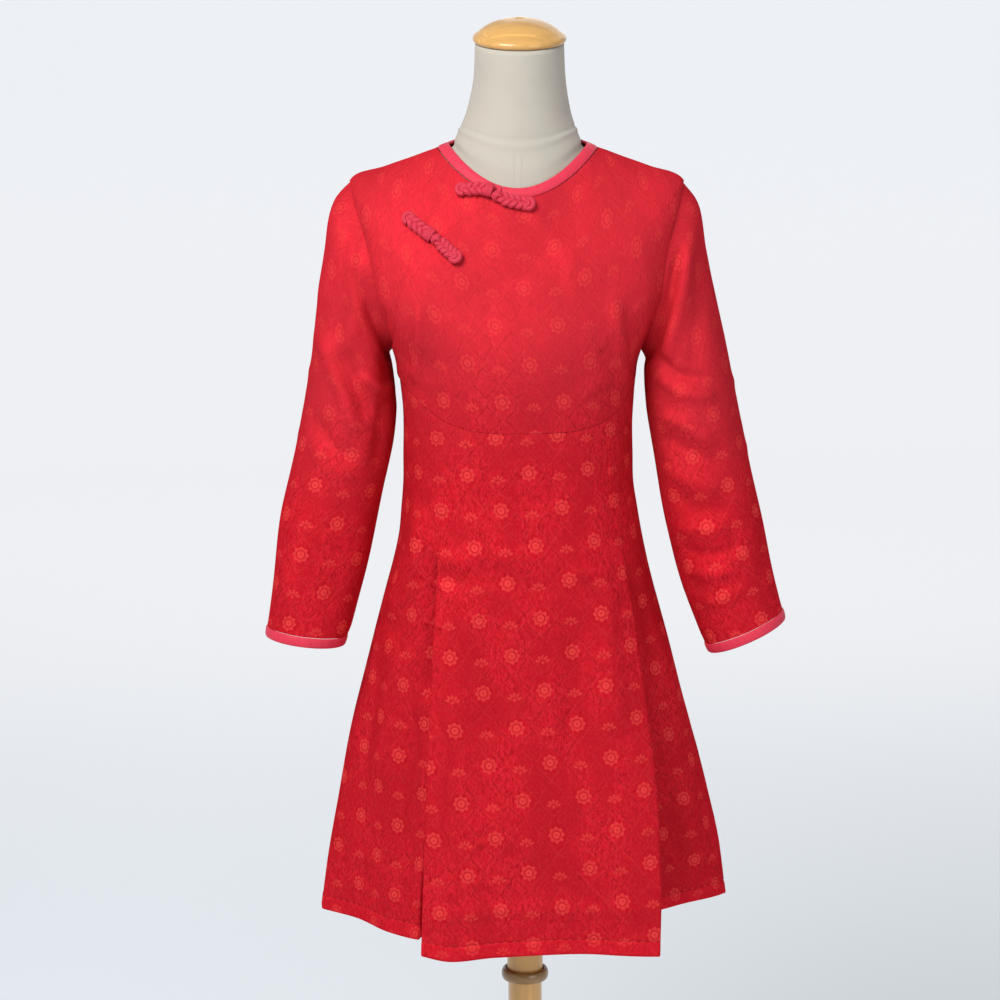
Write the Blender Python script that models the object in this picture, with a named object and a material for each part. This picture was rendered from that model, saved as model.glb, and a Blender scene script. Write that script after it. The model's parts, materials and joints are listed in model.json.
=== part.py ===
"""Long-sleeved round-necked A-line dress in the cheongsam manner, on a limbless dress form.

Metres, +Z up, the wearer faces -Y, origin on the floor under the pole.
Every dress panel is cut from one surface: a family of rings that starts at the neckline,
runs out over the shoulders and down to the hem.  Angle u is 0 at the centre front,
+90 at the +X side, 180 at the centre back.  Length v runs from the neckline down.
"""
import bpy
import bmesh
from math import sin, cos, pi, radians, sqrt
from mathutils import Vector

# ---------------------------------------------------------------- named sizes
CLOTH = 0.0014           # wall of a dress panel
SEAM = 0.0004            # space between two sewn pieces
LAP_LIFT = 0.0026        # how far the lap lies above the piece under it
LAP_NEAR = 0.030         # the lap keeps its full lift this far from its edge
LAP_FAR = 0.085          # and lies on the common surface from here on
NECK_V = 0.012           # width of the neck binding
NECK_GAP = 0.0009        # panels start this far beyond it
BIND_OUT = 0.0010        # the binding stands this far out of the cloth
BIND_IN = 0.0018         # and this far in
SHOULDER_V = 0.105       # ring of the shoulder point
ARMPIT_V = 0.195         # ring of the armpit
ARM_BITE = 32.0          # degrees the armhole cuts into front and back
SHOULDER_U = 87.0        # shoulder seam, a little in front of the ridge
BUST_V = 0.265           # under-bust seam at the centre front
BUST_RISE = 0.050        # how much higher it ends at the side seam
RELEASE_V = 0.394        # the two front pleats open here
HEM_V = 0.830
# how far the hem of the centre panel hangs below the side panels: share of its width, drop
CENTRE_HEM = [(0.0, 0.0030), (0.15, 0.0085), (0.35, 0.0046), (0.60, 0.0030), (0.82, 0.0075),
              (1.0, 0.0100)]
CENTRE_PROUD = 0.0024    # and stands this far in front of the side panels
POLE_R = 0.0205
POLE_LOW_R = 0.0193
POLE_STEP_Z = 0.411
BASE_R = 0.170
BASE_T = 0.026
FORM_BOTTOM = 0.728
AROUND = 20              # points round a sleeve
YOKE_ROWS = [0.035, 0.060, 0.085]
BUST_US = [-90, -83, -75, -69, -63, -57, -51, -44, -40, -36.5, -33.5, -30, -26, -20, -12, -4,
           4, 13, 22, 31, 40, 48, 56, 64, 71, 78, 84, 90]   # columns shared along the under-bust seam

# ring table: v, z at front / side / back, half width, depth front / back, power,
# centre x, centre y, turn in degrees
BODY = [
    # v      z_fr    z_side  z_back  half_w  d_fr   d_back pow   x_mid    y_mid  turn
    (0.000, 1.3135, 1.3600, 1.3760, 0.0760, 0.0760, 0.0600, 2.0, -0.0080, 0.000, 0.0),
    (0.012, 1.3025, 1.3560, 1.3700, 0.0880, 0.0815, 0.0680, 2.0, -0.0082, 0.000, 0.0),
    (0.040, 1.2770, 1.3475, 1.3490, 0.1120, 0.0900, 0.0830, 2.1, -0.0085, 0.000, 0.0),
    (0.070, 1.2490, 1.3360, 1.3200, 0.1450, 0.0985, 0.0960, 2.2, -0.0087, 0.000, 0.0),
    (0.105, 1.2150, 1.3200, 1.2860, 0.1838, 0.1080, 0.1040, 2.3, -0.0090, 0.000, 0.0),
    (0.130, 1.1900, 1.2760, 1.2550, 0.1850, 0.1140, 0.1070, 2.4, -0.0090, 0.000, 0.8),
    (0.160, 1.1590, 1.2160, 1.2080, 0.1750, 0.1215, 0.1070, 2.4, -0.0088, 0.000, 1.8),
    (0.180, 1.1385, 1.1680, 1.1690, 0.1530, 0.1250, 0.1055, 2.4, -0.0086, 0.000, 2.5),
    (0.195, 1.1230, 1.1350, 1.1400, 0.1372, 0.1255, 0.1040, 2.4, -0.0085, 0.000, 3.0),
    (0.215, 1.1030, 1.1060, 1.1090, 0.1312, 0.1245, 0.1020, 2.4, -0.0085, 0.000, 4.0),
    (0.240, 1.0775, 1.0770, 1.0780, 0.1284, 0.1210, 0.1000, 2.4, -0.0080, 0.000, 5.0),
    (0.265, 1.0525, 1.0520, 1.0525, 0.1272, 0.1170, 0.0990, 2.4, -0.0080, 0.000, 5.8),
    (0.300, 1.0170, 1.0170, 1.0170, 0.1276, 0.1155, 0.0985, 2.4, -0.0080, 0.001, 6.2),
    (0.330, 0.9870, 0.9870, 0.9870, 0.1279, 0.1160, 0.1000, 2.4, -0.0078, 0.002, 6.5),
    (0.360, 0.9570, 0.9570, 0.9570, 0.1315, 0.1195, 0.1030, 2.4, -0.0068, 0.003, 6.8),
    (0.394, 0.9230, 0.9230, 0.9230, 0.1370, 0.1240, 0.1080, 2.4, -0.0054, 0.005, 7.0),
    (0.463, 0.8540, 0.8540, 0.8540, 0.1542, 0.1330, 0.1190, 2.4, -0.0050, 0.010, 7.0),
    (0.549, 0.7680, 0.7680, 0.7680, 0.1764, 0.1440, 0.1290, 2.4, -0.0047, 0.015, 7.0),
    (0.654, 0.6630, 0.6630, 0.6630, 0.2035, 0.1610, 0.1390, 2.4, -0.0024, 0.021, 7.0),
    (0.760, 0.5570, 0.5570, 0.5570, 0.2265, 0.1770, 0.1480, 2.4, 0.0006, 0.027, 7.0),
    (0.830, 0.4870, 0.4870, 0.4870, 0.2365, 0.1860, 0.1530, 2.4, 0.0008, 0.030, 7.0),
    (0.870, 0.4470, 0.4470, 0.4470, 0.2420, 0.1900, 0.1555, 2.4, 0.0010, 0.031, 7.0),
]

# lap edge: angle u against length v, from the neckline to the armpit
LAP_EDGE = [
    (-12.0, 0.0129), (-20.0, 0.0340), (-26.0, 0.0580), (-30.0, 0.0850), (-33.5, 0.1150),
    (-40.0, 0.1480), (-51.0, 0.1720), (-63.0, 0.1840), (-75.0, 0.1906), (-90.0, 0.1958),
]

# seam and pleat edges of the centre panel: v, u on the -X side, u on the +X side
CENTRE_EDGE = [
    (0.255, -44.0, 40.0), (0.300, -43.5, 41.0), (0.350, -43.0, 42.0), (0.394, -42.6, 42.4),
    (0.470, -38.5, 39.6), (0.556, -34.7, 36.4), (0.643, -32.1, 32.8), (0.730, -30.8, 28.9),
    (0.850, -29.4, 25.0),
]

# where the hem of each front side panel runs in plan: u, x, y, z
HEM_SIDE_R = [
    (-90.0, -0.2340, 0.0010, 0.4870), (-76.0, -0.2180, -0.0120, 0.4870),
    (-62.0, -0.1890, -0.0360, 0.4865), (-48.0, -0.1545, -0.0820, 0.4865),
    (-34.0, -0.1187, -0.1120, 0.4865), (-29.0, -0.1120, -0.1010, 0.4870),
    (-20.0, -0.0800, -0.0980, 0.4875), (-8.0, -0.0450, -0.0970, 0.4875),
]
HEM_SIDE_L = [
    (90.0, 0.2350, 0.0590, 0.4890), (76.0, 0.2295, 0.0330, 0.4940),
    (62.0, 0.2110, 0.0080, 0.4965), (48.0, 0.1810, -0.0150, 0.4970),
    (36.0, 0.1520, -0.0370, 0.4970), (22.0, 0.1080, -0.0560, 0.4960),
    (8.0, 0.0640, -0.0640, 0.4960),
]

# sleeve sections: x, z of the outer line, x, z of the inner line, y of the middle, half depth
SLEEVE_R = [
    # x_out    z_out   x_in     z_in    y_mid   depth
    (-0.2120, 1.2930, -0.1500, 1.1290, -0.002, 0.0630),
    (-0.2200, 1.2440, -0.1470, 1.1150, -0.003, 0.0640),
    (-0.2282, 1.1946, -0.1450, 1.1020, -0.004, 0.0620),
    (-0.2356, 1.1449, -0.1435, 1.0860, -0.005, 0.0600),
    (-0.2438, 1.0949, -0.1425, 1.0640, -0.006, 0.0580),
    (-0.2525, 1.0446, -0.1470, 1.0260, -0.008, 0.0560),
    (-0.2625, 0.9941, -0.1570, 0.9790, -0.011, 0.0540),
    (-0.2722, 0.9434, -0.1686, 0.9300, -0.015, 0.0520),
    (-0.2797, 0.8923, -0.1800, 0.8800, -0.020, 0.0490),
    (-0.2860, 0.8450, -0.1930, 0.8330, -0.025, 0.0460),
    (-0.2884, 0.8265, -0.1993, 0.8145, -0.027, 0.0450),
]
SLEEVE_L = [
    (0.1925, 1.2930, 0.1335, 1.1240, -0.002, 0.0630),
    (0.2000, 1.2440, 0.1325, 1.1130, -0.003, 0.0640),
    (0.2100, 1.1946, 0.1325, 1.1000, -0.004, 0.0620),
    (0.2212, 1.1449, 0.1335, 1.0840, -0.005, 0.0600),
    (0.2318, 1.0949, 0.1355, 1.0620, -0.006, 0.0580),
    (0.2424, 1.0500, 0.1415, 1.0240, -0.008, 0.0560),
    (0.2530, 0.9985, 0.1510, 0.9740, -0.011, 0.0540),
    (0.2636, 0.9490, 0.1640, 0.9220, -0.015, 0.0520),
    (0.2742, 0.8990, 0.1770, 0.8680, -0.020, 0.0490),
    (0.2845, 0.8590, 0.1930, 0.8230, -0.025, 0.0460),
    (0.2880, 0.8450, 0.2015, 0.8060, -0.027, 0.0450),
]
CUFF_W = 0.0115

# dress form rings: z front / side / back, half width, depth front / back, power, x, y, turn
FORM = [
    # z_fr   z_side  z_back  half_w  d_fr    d_back  pow   x_mid    y_mid  turn  z_pow
    (1.4580, 1.4690, 1.4800, 0.0485, 0.0500, 0.0480, 2.0, -0.0060, -0.012, 0.0, 1),
    (1.4200, 1.4300, 1.4400, 0.0505, 0.0520, 0.0490, 2.0, -0.0060, -0.008, 0.0, 1),
    (1.3860, 1.3960, 1.4080, 0.0570, 0.0570, 0.0520, 2.0, -0.0070, -0.003, 0.0, 1),
    (1.3600, 1.3770, 1.3920, 0.0640, 0.0620, 0.0540, 2.0, -0.0078, 0.000, 0.0, 2),
    (1.3350, 1.3650, 1.3800, 0.0690, 0.0675, 0.0555, 2.0, -0.0080, 0.000, 0.0, 2),
    (1.3090, 1.3550, 1.3700, 0.0740, 0.0720, 0.0570, 2.0, -0.0080, 0.000, 0.0, 2),
    (1.2750, 1.3425, 1.3460, 0.1090, 0.0865, 0.0795, 2.1, -0.0085, 0.000, 0.0, 2),
    (1.2450, 1.3310, 1.3160, 0.1400, 0.0945, 0.0920, 2.2, -0.0087, 0.000, 0.0, 2),
    (1.2120, 1.3130, 1.2820, 0.1680, 0.1035, 0.0995, 2.3, -0.0090, 0.000, 0.0, 2),
    (1.1890, 1.2700, 1.2520, 0.1690, 0.1100, 0.1025, 2.4, -0.0090, 0.000, 0.8, 2),
    (1.1580, 1.2120, 1.2060, 0.1580, 0.1170, 0.1025, 2.4, -0.0088, 0.000, 1.8, 2),
    (1.1220, 1.1350, 1.1400, 0.1325, 0.1210, 0.0995, 2.4, -0.0085, 0.000, 3.0, 2),
    (1.0900, 1.0920, 1.0940, 0.1240, 0.1170, 0.0960, 2.3, -0.0083, 0.000, 4.0, 2),
    (1.0300, 1.0300, 1.0300, 0.1170, 0.1010, 0.0900, 2.2, -0.0080, 0.000, 5.5, 2),
    (0.9700, 0.9700, 0.9700, 0.1140, 0.0960, 0.0900, 2.2, -0.0070, 0.001, 6.5, 2),
    (0.9000, 0.9000, 0.9000, 0.1290, 0.1000, 0.1000, 2.3, -0.0050, 0.003, 7.0, 2),
    (0.8200, 0.8200, 0.8200, 0.1450, 0.1030, 0.1100, 2.3, -0.0040, 0.006, 7.0, 2),
    (0.7700, 0.7700, 0.7700, 0.1480, 0.1010, 0.1120, 2.3, -0.0030, 0.006, 7.0, 2),
    (0.7350, 0.7350, 0.7350, 0.1450, 0.0980, 0.1100, 2.3, -0.0030, 0.006, 7.0, 2),
    (0.7280, 0.7280, 0.7280, 0.1390, 0.0930, 0.1050, 2.3, -0.0030, 0.006, 7.0, 2),
]

# frogs: path of each pad over the cloth, u, v, lift of its underside, then pad half width
FROG_1_LOOP = [(-36.0, 0.0285, 0.0007), (-30.5, 0.0215, 0.0012), (-24.5, 0.0160, 0.0016),
               (-17.0, 0.0135, 0.0024)]
FROG_1_KNOT = [(-9.5, 0.0160, 0.0034), (-3.5, 0.0180, 0.0034), (3.0, 0.0200, 0.0032),
               (10.0, 0.0220, 0.0030)]
FROG_2_LOOP = [(-44.4, 0.0855, 0.0006), (-39.6, 0.0848, 0.0007), (-35.4, 0.0843, 0.0014),
               (-31.6, 0.0842, 0.0034)]
FROG_2_KNOT = [(-27.4, 0.0850, 0.0034), (-24.5, 0.0868, 0.0034), (-21.4, 0.0890, 0.0034),
               (-18.3, 0.0915, 0.0034)]
FROG_HALF_W = 0.0068
FROG_HIGH = 0.0050
BUTTON_R = 0.0056

# materials: colour, roughness, metallic
MATERIALS = {
    "jacquard_red": ((0.560, 0.012, 0.026, 1.0), 0.45, 0.0),
    "binding_rose": ((0.720, 0.030, 0.085, 1.0), 0.50, 0.0),
    "form_cream": ((0.800, 0.770, 0.690, 1.0), 0.80, 0.0),
    "wood_honey": ((0.620, 0.330, 0.110, 1.0), 0.30, 0.0),
}


# ---------------------------------------------------------------- small helpers
def lookup(table, x, column):
    """Smooth curve through one column of a table, first column the key."""
    n = len(table)
    up = table[-1][0] > table[0][0]
    keys = [row[0] if up else -row[0] for row in table]
    x = x if up else -x
    x = min(max(x, keys[0]), keys[-1])
    i = 0
    while i < n - 2 and x > keys[i + 1]:
        i += 1
    a, b = max(i - 1, 0), min(i + 2, n - 1)
    h = keys[i + 1] - keys[i]
    f = (x - keys[i]) / h
    p1, p2 = table[i][column], table[i + 1][column]
    m1 = (p2 - table[a][column]) / (keys[i + 1] - keys[a]) * h
    m2 = (table[b][column] - p1) / (keys[b] - keys[i]) * h
    f2, f3 = f * f, f * f * f
    return ((2 * f3 - 3 * f2 + 1) * p1 + (f3 - 2 * f2 + f) * m1
            + (3 * f2 - 2 * f3) * p2 + (f3 - f2) * m2)


def smooth(x):
    x = min(max(x, 0.0), 1.0)
    return x * x * (3 - 2 * x)


def ring_point(u, z_f, z_s, z_b, w, d_f, d_b, power, x_mid, y_mid, turn, z_pow=2):
    a = radians(u)
    sx, cy = sin(a), cos(a)
    e = 2.0 / power
    x = w * (1 if sx > 0 else -1) * abs(sx) ** e
    if cy > 0:
        y, z = -d_f * abs(cy) ** e, z_s + (z_f - z_s) * abs(cy) ** z_pow
    else:
        y, z = d_b * abs(cy) ** e, z_s + (z_b - z_s) * abs(cy) ** z_pow
    t = radians(turn)
    return Vector((x_mid + x * cos(t) - y * sin(t), y_mid + x * sin(t) + y * cos(t), z))


def body(u, v):
    return ring_point(u, *[lookup(BODY, v, c) for c in range(1, 11)])


def body_turn(v):
    return lookup(BODY, v, 10)


def normal_of(surface, u, v):
    """Outward normal of surface(u, v); u runs towards +X over the front."""
    du, dv = 0.4, 0.0012
    along_u = surface(u + du, v) - surface(u - du, v)
    along_v = surface(u, v + dv) - surface(u, v - dv)
    return along_v.cross(along_u).normalized()


def arm_u(v):
    """Front edge of the armhole, in degrees from the centre front."""
    f = (v - SHOULDER_V) / (ARMPIT_V - SHOULDER_V)
    if f <= 0.0:
        return SHOULDER_U + (90.0 - SHOULDER_U) * smooth((v - 0.07) / (SHOULDER_V - 0.07))
    if f >= 1.0:
        return 90.0
    return 90.0 - ARM_BITE * sqrt(sin(pi * f ** 0.85))


def arm_u_back(v):
    f = (v - SHOULDER_V) / (ARMPIT_V - SHOULDER_V)
    if f <= 0.0:
        return SHOULDER_U + (90.0 - SHOULDER_U) * smooth((v - 0.07) / (SHOULDER_V - 0.07))
    if f >= 1.0:
        return 90.0
    return 90.0 + ARM_BITE * 0.85 * sqrt(sin(pi * f ** 0.85))


def armhole_rows():
    """Lengths v at which panels and sleeves share points along the armhole."""
    half_round = AROUND // 2
    return [SHOULDER_V + (ARMPIT_V - SHOULDER_V) * (1 - cos(pi * k / half_round)) / 2
            for k in range(half_round + 1)]


def degrees_for(length, u, v):
    """How many degrees of u make this length at (u, v)."""
    step = (body(u + 0.5, v) - body(u - 0.5, v)).length
    return length / step


def bust_v(u):
    return BUST_V - BUST_RISE * abs(sin(radians(u))) ** 3.2


# ---------------------------------------------------------------- scene plumbing
def clear_scene():
    for ob in list(bpy.data.objects):
        bpy.data.objects.remove(ob, do_unlink=True)
    for me in list(bpy.data.meshes):
        bpy.data.meshes.remove(me)


def material(name):
    mat = bpy.data.materials.get(name)
    if mat is None:
        colour, rough, metal = MATERIALS[name]
        mat = bpy.data.materials.new(name)
        mat.use_nodes = True
        bsdf = mat.node_tree.nodes["Principled BSDF"]
        bsdf.inputs["Base Color"].default_value = colour
        bsdf.inputs["Roughness"].default_value = rough
        bsdf.inputs["Metallic"].default_value = metal
        mat.diffuse_color = colour
    return mat


def collection():
    col = bpy.data.collections.get("dress_on_form")
    if col is None:
        col = bpy.data.collections.new("dress_on_form")
        bpy.context.scene.collection.children.link(col)
    return col


def finish_mesh(bm, name, slot):
    bmesh.ops.recalc_face_normals(bm, faces=bm.faces)
    me = bpy.data.meshes.new(name)
    bm.to_mesh(me)
    bm.free()
    ob = bpy.data.objects.new(name, me)
    me.materials.append(material(slot))
    collection().objects.link(ob)
    return ob


def shell(name, slot, outer, inner, closed=False):
    """Closed wall between two point grids [row][column]; closed joins the columns round."""
    bm = bmesh.new()
    rows, cols = len(outer), len(outer[0])
    vo = [[bm.verts.new(p) for p in row] for row in outer]
    vi = [[bm.verts.new(p) for p in row] for row in inner]
    last = cols if closed else cols - 1
    for i in range(rows - 1):
        for j in range(last):
            k = (j + 1) % cols
            bm.faces.new((vo[i][j], vo[i + 1][j], vo[i + 1][k], vo[i][k]))
            bm.faces.new((vi[i][j], vi[i][k], vi[i + 1][k], vi[i + 1][j]))
    for j in range(last):
        k = (j + 1) % cols
        bm.faces.new((vo[0][j], vo[0][k], vi[0][k], vi[0][j]))
        bm.faces.new((vo[-1][k], vo[-1][j], vi[-1][j], vi[-1][k]))
    if not closed:
        for i in range(rows - 1):
            bm.faces.new((vo[i + 1][0], vo[i][0], vi[i][0], vi[i + 1][0]))
            bm.faces.new((vo[i][-1], vo[i + 1][-1], vi[i + 1][-1], vi[i][-1]))
    bmesh.ops.triangulate(bm, faces=bm.faces)
    return finish_mesh(bm, name, slot)


def tube(name, slot, rings):
    """Closed solid through rings of points, both ends filled."""
    bm = bmesh.new()
    vs = [[bm.verts.new(p) for p in ring] for ring in rings]
    n = len(rings[0])
    for i in range(len(rings) - 1):
        for j in range(n):
            k = (j + 1) % n
            bm.faces.new((vs[i][j], vs[i][k], vs[i + 1][k], vs[i + 1][j]))
    bm.faces.new(vs[0][::-1])
    bm.faces.new(vs[-1])
    bmesh.ops.triangulate(bm, faces=bm.faces)
    return finish_mesh(bm, name, slot)


def lathe(name, slot, profile, steps, centre=(0, 0, 0), tilt=0.0, hollow=False):
    """Spin a profile of (radius, z) about the upright axis; hollow closes it on itself."""
    bm = bmesh.new()
    rings = []
    for r, z in profile:
        if r < 1e-6:
            rings.append([bm.verts.new((0, 0, z))])
        else:
            rings.append([bm.verts.new((r * cos(2 * pi * k / steps), r * sin(2 * pi * k / steps), z))
                          for k in range(steps)])
    pairs = list(zip(rings[:-1], rings[1:]))
    if hollow:
        pairs.append((rings[-1], rings[0]))
    for a, b in pairs:
        for k in range(steps):
            m = (k + 1) % steps
            if len(a) == 1:
                bm.faces.new((a[0], b[m], b[k]))
            elif len(b) == 1:
                bm.faces.new((a[k], a[m], b[0]))
            else:
                bm.faces.new((a[k], a[m], b[m], b[k]))
    ct, st = cos(tilt), sin(tilt)
    for v in bm.verts:
        x, y, z = v.co
        v.co = Vector((x + centre[0], y * ct - z * st + centre[1], y * st + z * ct + centre[2]))
    bmesh.ops.triangulate(bm, faces=bm.faces)
    return finish_mesh(bm, name, slot)


# ---------------------------------------------------------------- dress panels
def panel(name, surface, u_left, u_right, v_top, v_bottom, s_list, t_of_row, wall=CLOTH,
          halves=False):
    """Four-sided panel of surface(u, v) between two side lines and two end lines.

    t_of_row is a list of fractions from top to bottom; u_left and u_right are functions
    of v, v_top and v_bottom functions of s.  With halves, each half of s is spread
    between the centre front and its own side line.
    """
    outer, inner = [], []
    for t in t_of_row:
        row_o, row_i = [], []
        for s in s_list:
            v = v_top(s) + t * (v_bottom(s) - v_top(s))
            if halves:
                u = u_left(v) * (1 - 2 * s) if s < 0.5 else u_right(v) * (2 * s - 1)
            else:
                u = u_left(v) + s * (u_right(v) - u_left(v))
            p = surface(u, v)
            n = normal_of(surface, u, v)
            row_o.append(p)
            row_i.append(p - n * wall)
        outer.append(row_o)
        inner.append(row_i)
    return shell(name, "jacquard_red", outer, inner)


def even(n):
    return [i / n for i in range(n + 1)]


def lap_v_at(s_front):
    """Top edge of the lap front as a function of s, its neckline part included."""
    return max(lookup(LAP_S, s_front, 1), NECK_V + NECK_GAP)


def front_right_u(v):
    return arm_u(v) - degrees_for(SEAM / 2, 80, v)


def make_lap_s():
    rows = [((u + 90.0) / 180.0, v) for u, v in reversed(LAP_EDGE)]
    return rows + [(1.0, NECK_V + NECK_GAP)]


LAP_S = make_lap_s()
LAP_LINE = [body(u, v) for u, v in LAP_EDGE]


def lap_lift(p):
    near = min(seg_distance(p, a, b) for a, b in zip(LAP_LINE[:-1], LAP_LINE[1:]))
    fade = 1.0 - smooth((near - LAP_NEAR) / (LAP_FAR - LAP_NEAR))
    armpit = smooth(((p - LAP_LINE[-1]).length - 0.004) / 0.024)
    return LAP_LIFT * fade * armpit


def seg_distance(p, a, b):
    ab = b - a
    f = min(max((p - a).dot(ab) / ab.length_squared, 0.0), 1.0)
    return (p - (a + ab * f)).length


def front_surface(u, v):
    p = body(u, v)
    if v > BUST_V + 0.02:
        return p
    return p + normal_of(body, u, v) * lap_lift(p)


def centre_edge(v, side):
    return lookup(CENTRE_EDGE, v, 1 if side < 0 else 2)


def release(v):
    return min(max((v - RELEASE_V) / (HEM_V - RELEASE_V), 0.0), 1.1)


def side_surface(u, v):
    """Front side panels: on the rings above the pleat, falling back below it."""
    p = body(u, v)
    q = release(v)
    if q <= 0.0:
        return p
    table = HEM_SIDE_R if u < 0 else HEM_SIDE_L
    uu = min(max(u, -90.0), 90.0)
    goal = Vector((lookup(table, uu, 1), lookup(table, uu, 2), lookup(table, uu, 3)))
    off = goal - body(uu, HEM_V)
    return p + off * q ** (0.85 if u < 0 else 1.4)


def centre_surface(u, v):
    """Centre panel: stands proud from just above the pleat tops down."""
    p = body(u, v)
    lift = CENTRE_PROUD * smooth((v - RELEASE_V + 0.05) / 0.05)
    q = release(v)
    lift += (0.012 if u < 0 else 0.026) * q * smooth((abs(u) - 8.0) / 24.0)
    return p + normal_of(body, u, v) * lift


def sleeve_points(table, side, wall):
    """Outer and inner rings of a sleeve, the first one on the armhole."""
    around = AROUND
    outer, norms = [], []
    first, first_n = [], []
    for k in range(around):
        th = 2 * pi * k / around
        f = (1 - cos(th)) / 2
        v = SHOULDER_V + (ARMPIT_V - SHOULDER_V) * f
        front = sin(th) >= 0
        u = arm_u(v) if front else 2 * 90.0 - (180.0 - arm_u_back(v))
        if not front:
            u = arm_u_back(v)
        u = max(min(u, 118.0), 60.0)
        p = body(side * u, v)
        n = normal_of(body, side * u, v)
        first.append(p)
        first_n.append(n)
    outer.append(first)
    for x_o, z_o, x_i, z_i, y_m, depth in table:
        c = Vector(((x_o + x_i) / 2, y_m, (z_o + z_i) / 2))
        half = Vector(((x_o - x_i) / 2, 0, (z_o - z_i) / 2))
        ring = []
        for k in range(around):
            th = 2 * pi * k / around
            ring.append(c + half * cos(th) + Vector((0, -depth * sin(th), 0)))
        outer.append(ring)
    # move the first ring off the armhole, towards the second
    for k in range(around):
        way = (outer[1][k] - outer[0][k]).normalized()
        out = (outer[0][k] - sum(outer[0], Vector()) / around)
        out.y *= 0.2
        step = way * SEAM * 1.6 + Vector((side, 0, 0)) * 0.0006 * (1 - cos(2 * pi * k / around)) / 2
        outer[0][k] = outer[0][k] + step
    rows = len(outer)
    for i in range(rows):
        ring_n = []
        for k in range(around):
            a, b = outer[i][(k - 1) % around], outer[i][(k + 1) % around]
            up, down = outer[max(i - 1, 0)][k], outer[min(i + 1, rows - 1)][k]
            n = (b - a).cross(down - up).normalized()
            mid = sum(outer[i], Vector()) / around
            if n.dot(outer[i][k] - mid) < 0:
                n = -n
            if i == 0:
                top = ((1 + cos(2 * pi * k / around)) / 2) ** 0.5
                n = (first_n[k] * top + n * (1 - top)).normalized()
            ring_n.append(n)
        norms.append(ring_n)
    inner = [[p - n * wall for p, n in zip(r, m)] for r, m in zip(outer, norms)]
    return outer, inner


def cuff(name, table, side):
    """Binding round the end of a sleeve: a band a little thicker than the cloth."""
    around = AROUND
    last, before = table[-1], table[-2]
    rings = []
    down_o = Vector((last[0] - before[0], 0, last[1] - before[1])).normalized()
    down_i = Vector((last[2] - before[2], 0, last[3] - before[3])).normalized()
    for step, grow in ((SEAM, 0.0002), (0.0022, 0.0010), (CUFF_W - 0.002, 0.0012),
                       (CUFF_W, 0.0004)):
        o = Vector((last[0], 0, last[1])) + down_o * step
        i = Vector((last[2], 0, last[3])) + down_i * step
        c = (o + i) / 2
        half = (o - i) / 2
        half = half * (1 + grow / half.length)
        y_m = last[4] - 0.10 * step
        rings.append((c, half, y_m, last[5] + grow))
    outer, inner = [], []
    for n, (c, half, y_m, depth) in enumerate(rings):
        wall = (0.0016, 0.0030, 0.0032, 0.0018)[n]
        ro, ri = [], []
        for k in range(around):
            th = 2 * pi * k / around
            arm = half * cos(th) + Vector((0, -depth * sin(th), 0))
            p = c + Vector((0, y_m, 0)) + arm
            ro.append(p)
            ri.append(c + Vector((0, y_m, 0)) + arm * (1 - wall / arm.length))
        outer.append(ro)
        inner.append(ri)
    return shell(name, "binding_rose", outer, inner, closed=True)


def neck_binding():
    """Open ring round the neck; its two ends meet under the upper frog."""
    steps = 48
    start = LAP_EDGE[0][0] + degrees_for(SEAM, 0, 0.006)
    end = LAP_EDGE[0][0] + 360.0 - degrees_for(SEAM, 0, 0.006)
    profile = [(0.0, -0.0004), (0.0016, BIND_OUT), (NECK_V - 0.0016, BIND_OUT),
               (NECK_V, -0.0004), (NECK_V - 0.0016, -BIND_IN), (0.0016, -BIND_IN)]
    rings = []
    for k in range(steps + 1):
        u = start + (end - start) * k / steps
        n = normal_of(body, u, 0.006)
        ring = []
        for v, h in profile:
            ring.append(body(u, v) + n * h)
        rings.append(ring)
    return tube("neck_binding", "binding_rose", rings)


def frog_pad(name, path, flip):
    """Half of a frog: a low rounded pad bent over the cloth."""
    centres, norms = [], []
    for k in range(9):
        f = k / 8 * (len(path) - 1)
        i = min(int(f), len(path) - 2)
        g = f - i
        u, v, lift = [path[i][c] + (path[i + 1][c] - path[i][c]) * g for c in range(3)]
        n = normal_of(body, u, v)
        centres.append(body(u, v) + n * lift)
        norms.append(n)
    rings = []
    fat = [0.35, 0.78, 1.0, 1.0, 0.96, 0.92, 0.90, 0.80, 0.45]
    if flip:
        fat = fat[::-1]
    for k in range(9):
        ahead = (centres[min(k + 1, 8)] - centres[max(k - 1, 0)]).normalized()
        across = norms[k].cross(ahead).normalized()
        ring = []
        for m in range(10):
            th = 2 * pi * m / 10
            w = FROG_HALF_W * fat[k]
            h = FROG_HIGH * (0.6 + 0.4 * fat[k])
            ring.append(centres[k] + across * w * cos(th) + norms[k] * (h / 2 + h / 2 * sin(th)))
        rings.append(ring)
    return tube(name, "binding_rose", rings)


def button(name, u, v, lift):
    n = normal_of(body, u, v)
    c = body(u, v) + n * (lift + BUTTON_R)
    bm = bmesh.new()
    bmesh.ops.create_uvsphere(bm, u_segments=12, v_segments=8, radius=BUTTON_R)
    for vert in bm.verts:
        vert.co = vert.co + c
    bmesh.ops.triangulate(bm, faces=bm.faces)
    return finish_mesh(bm, name, "binding_rose")


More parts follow.
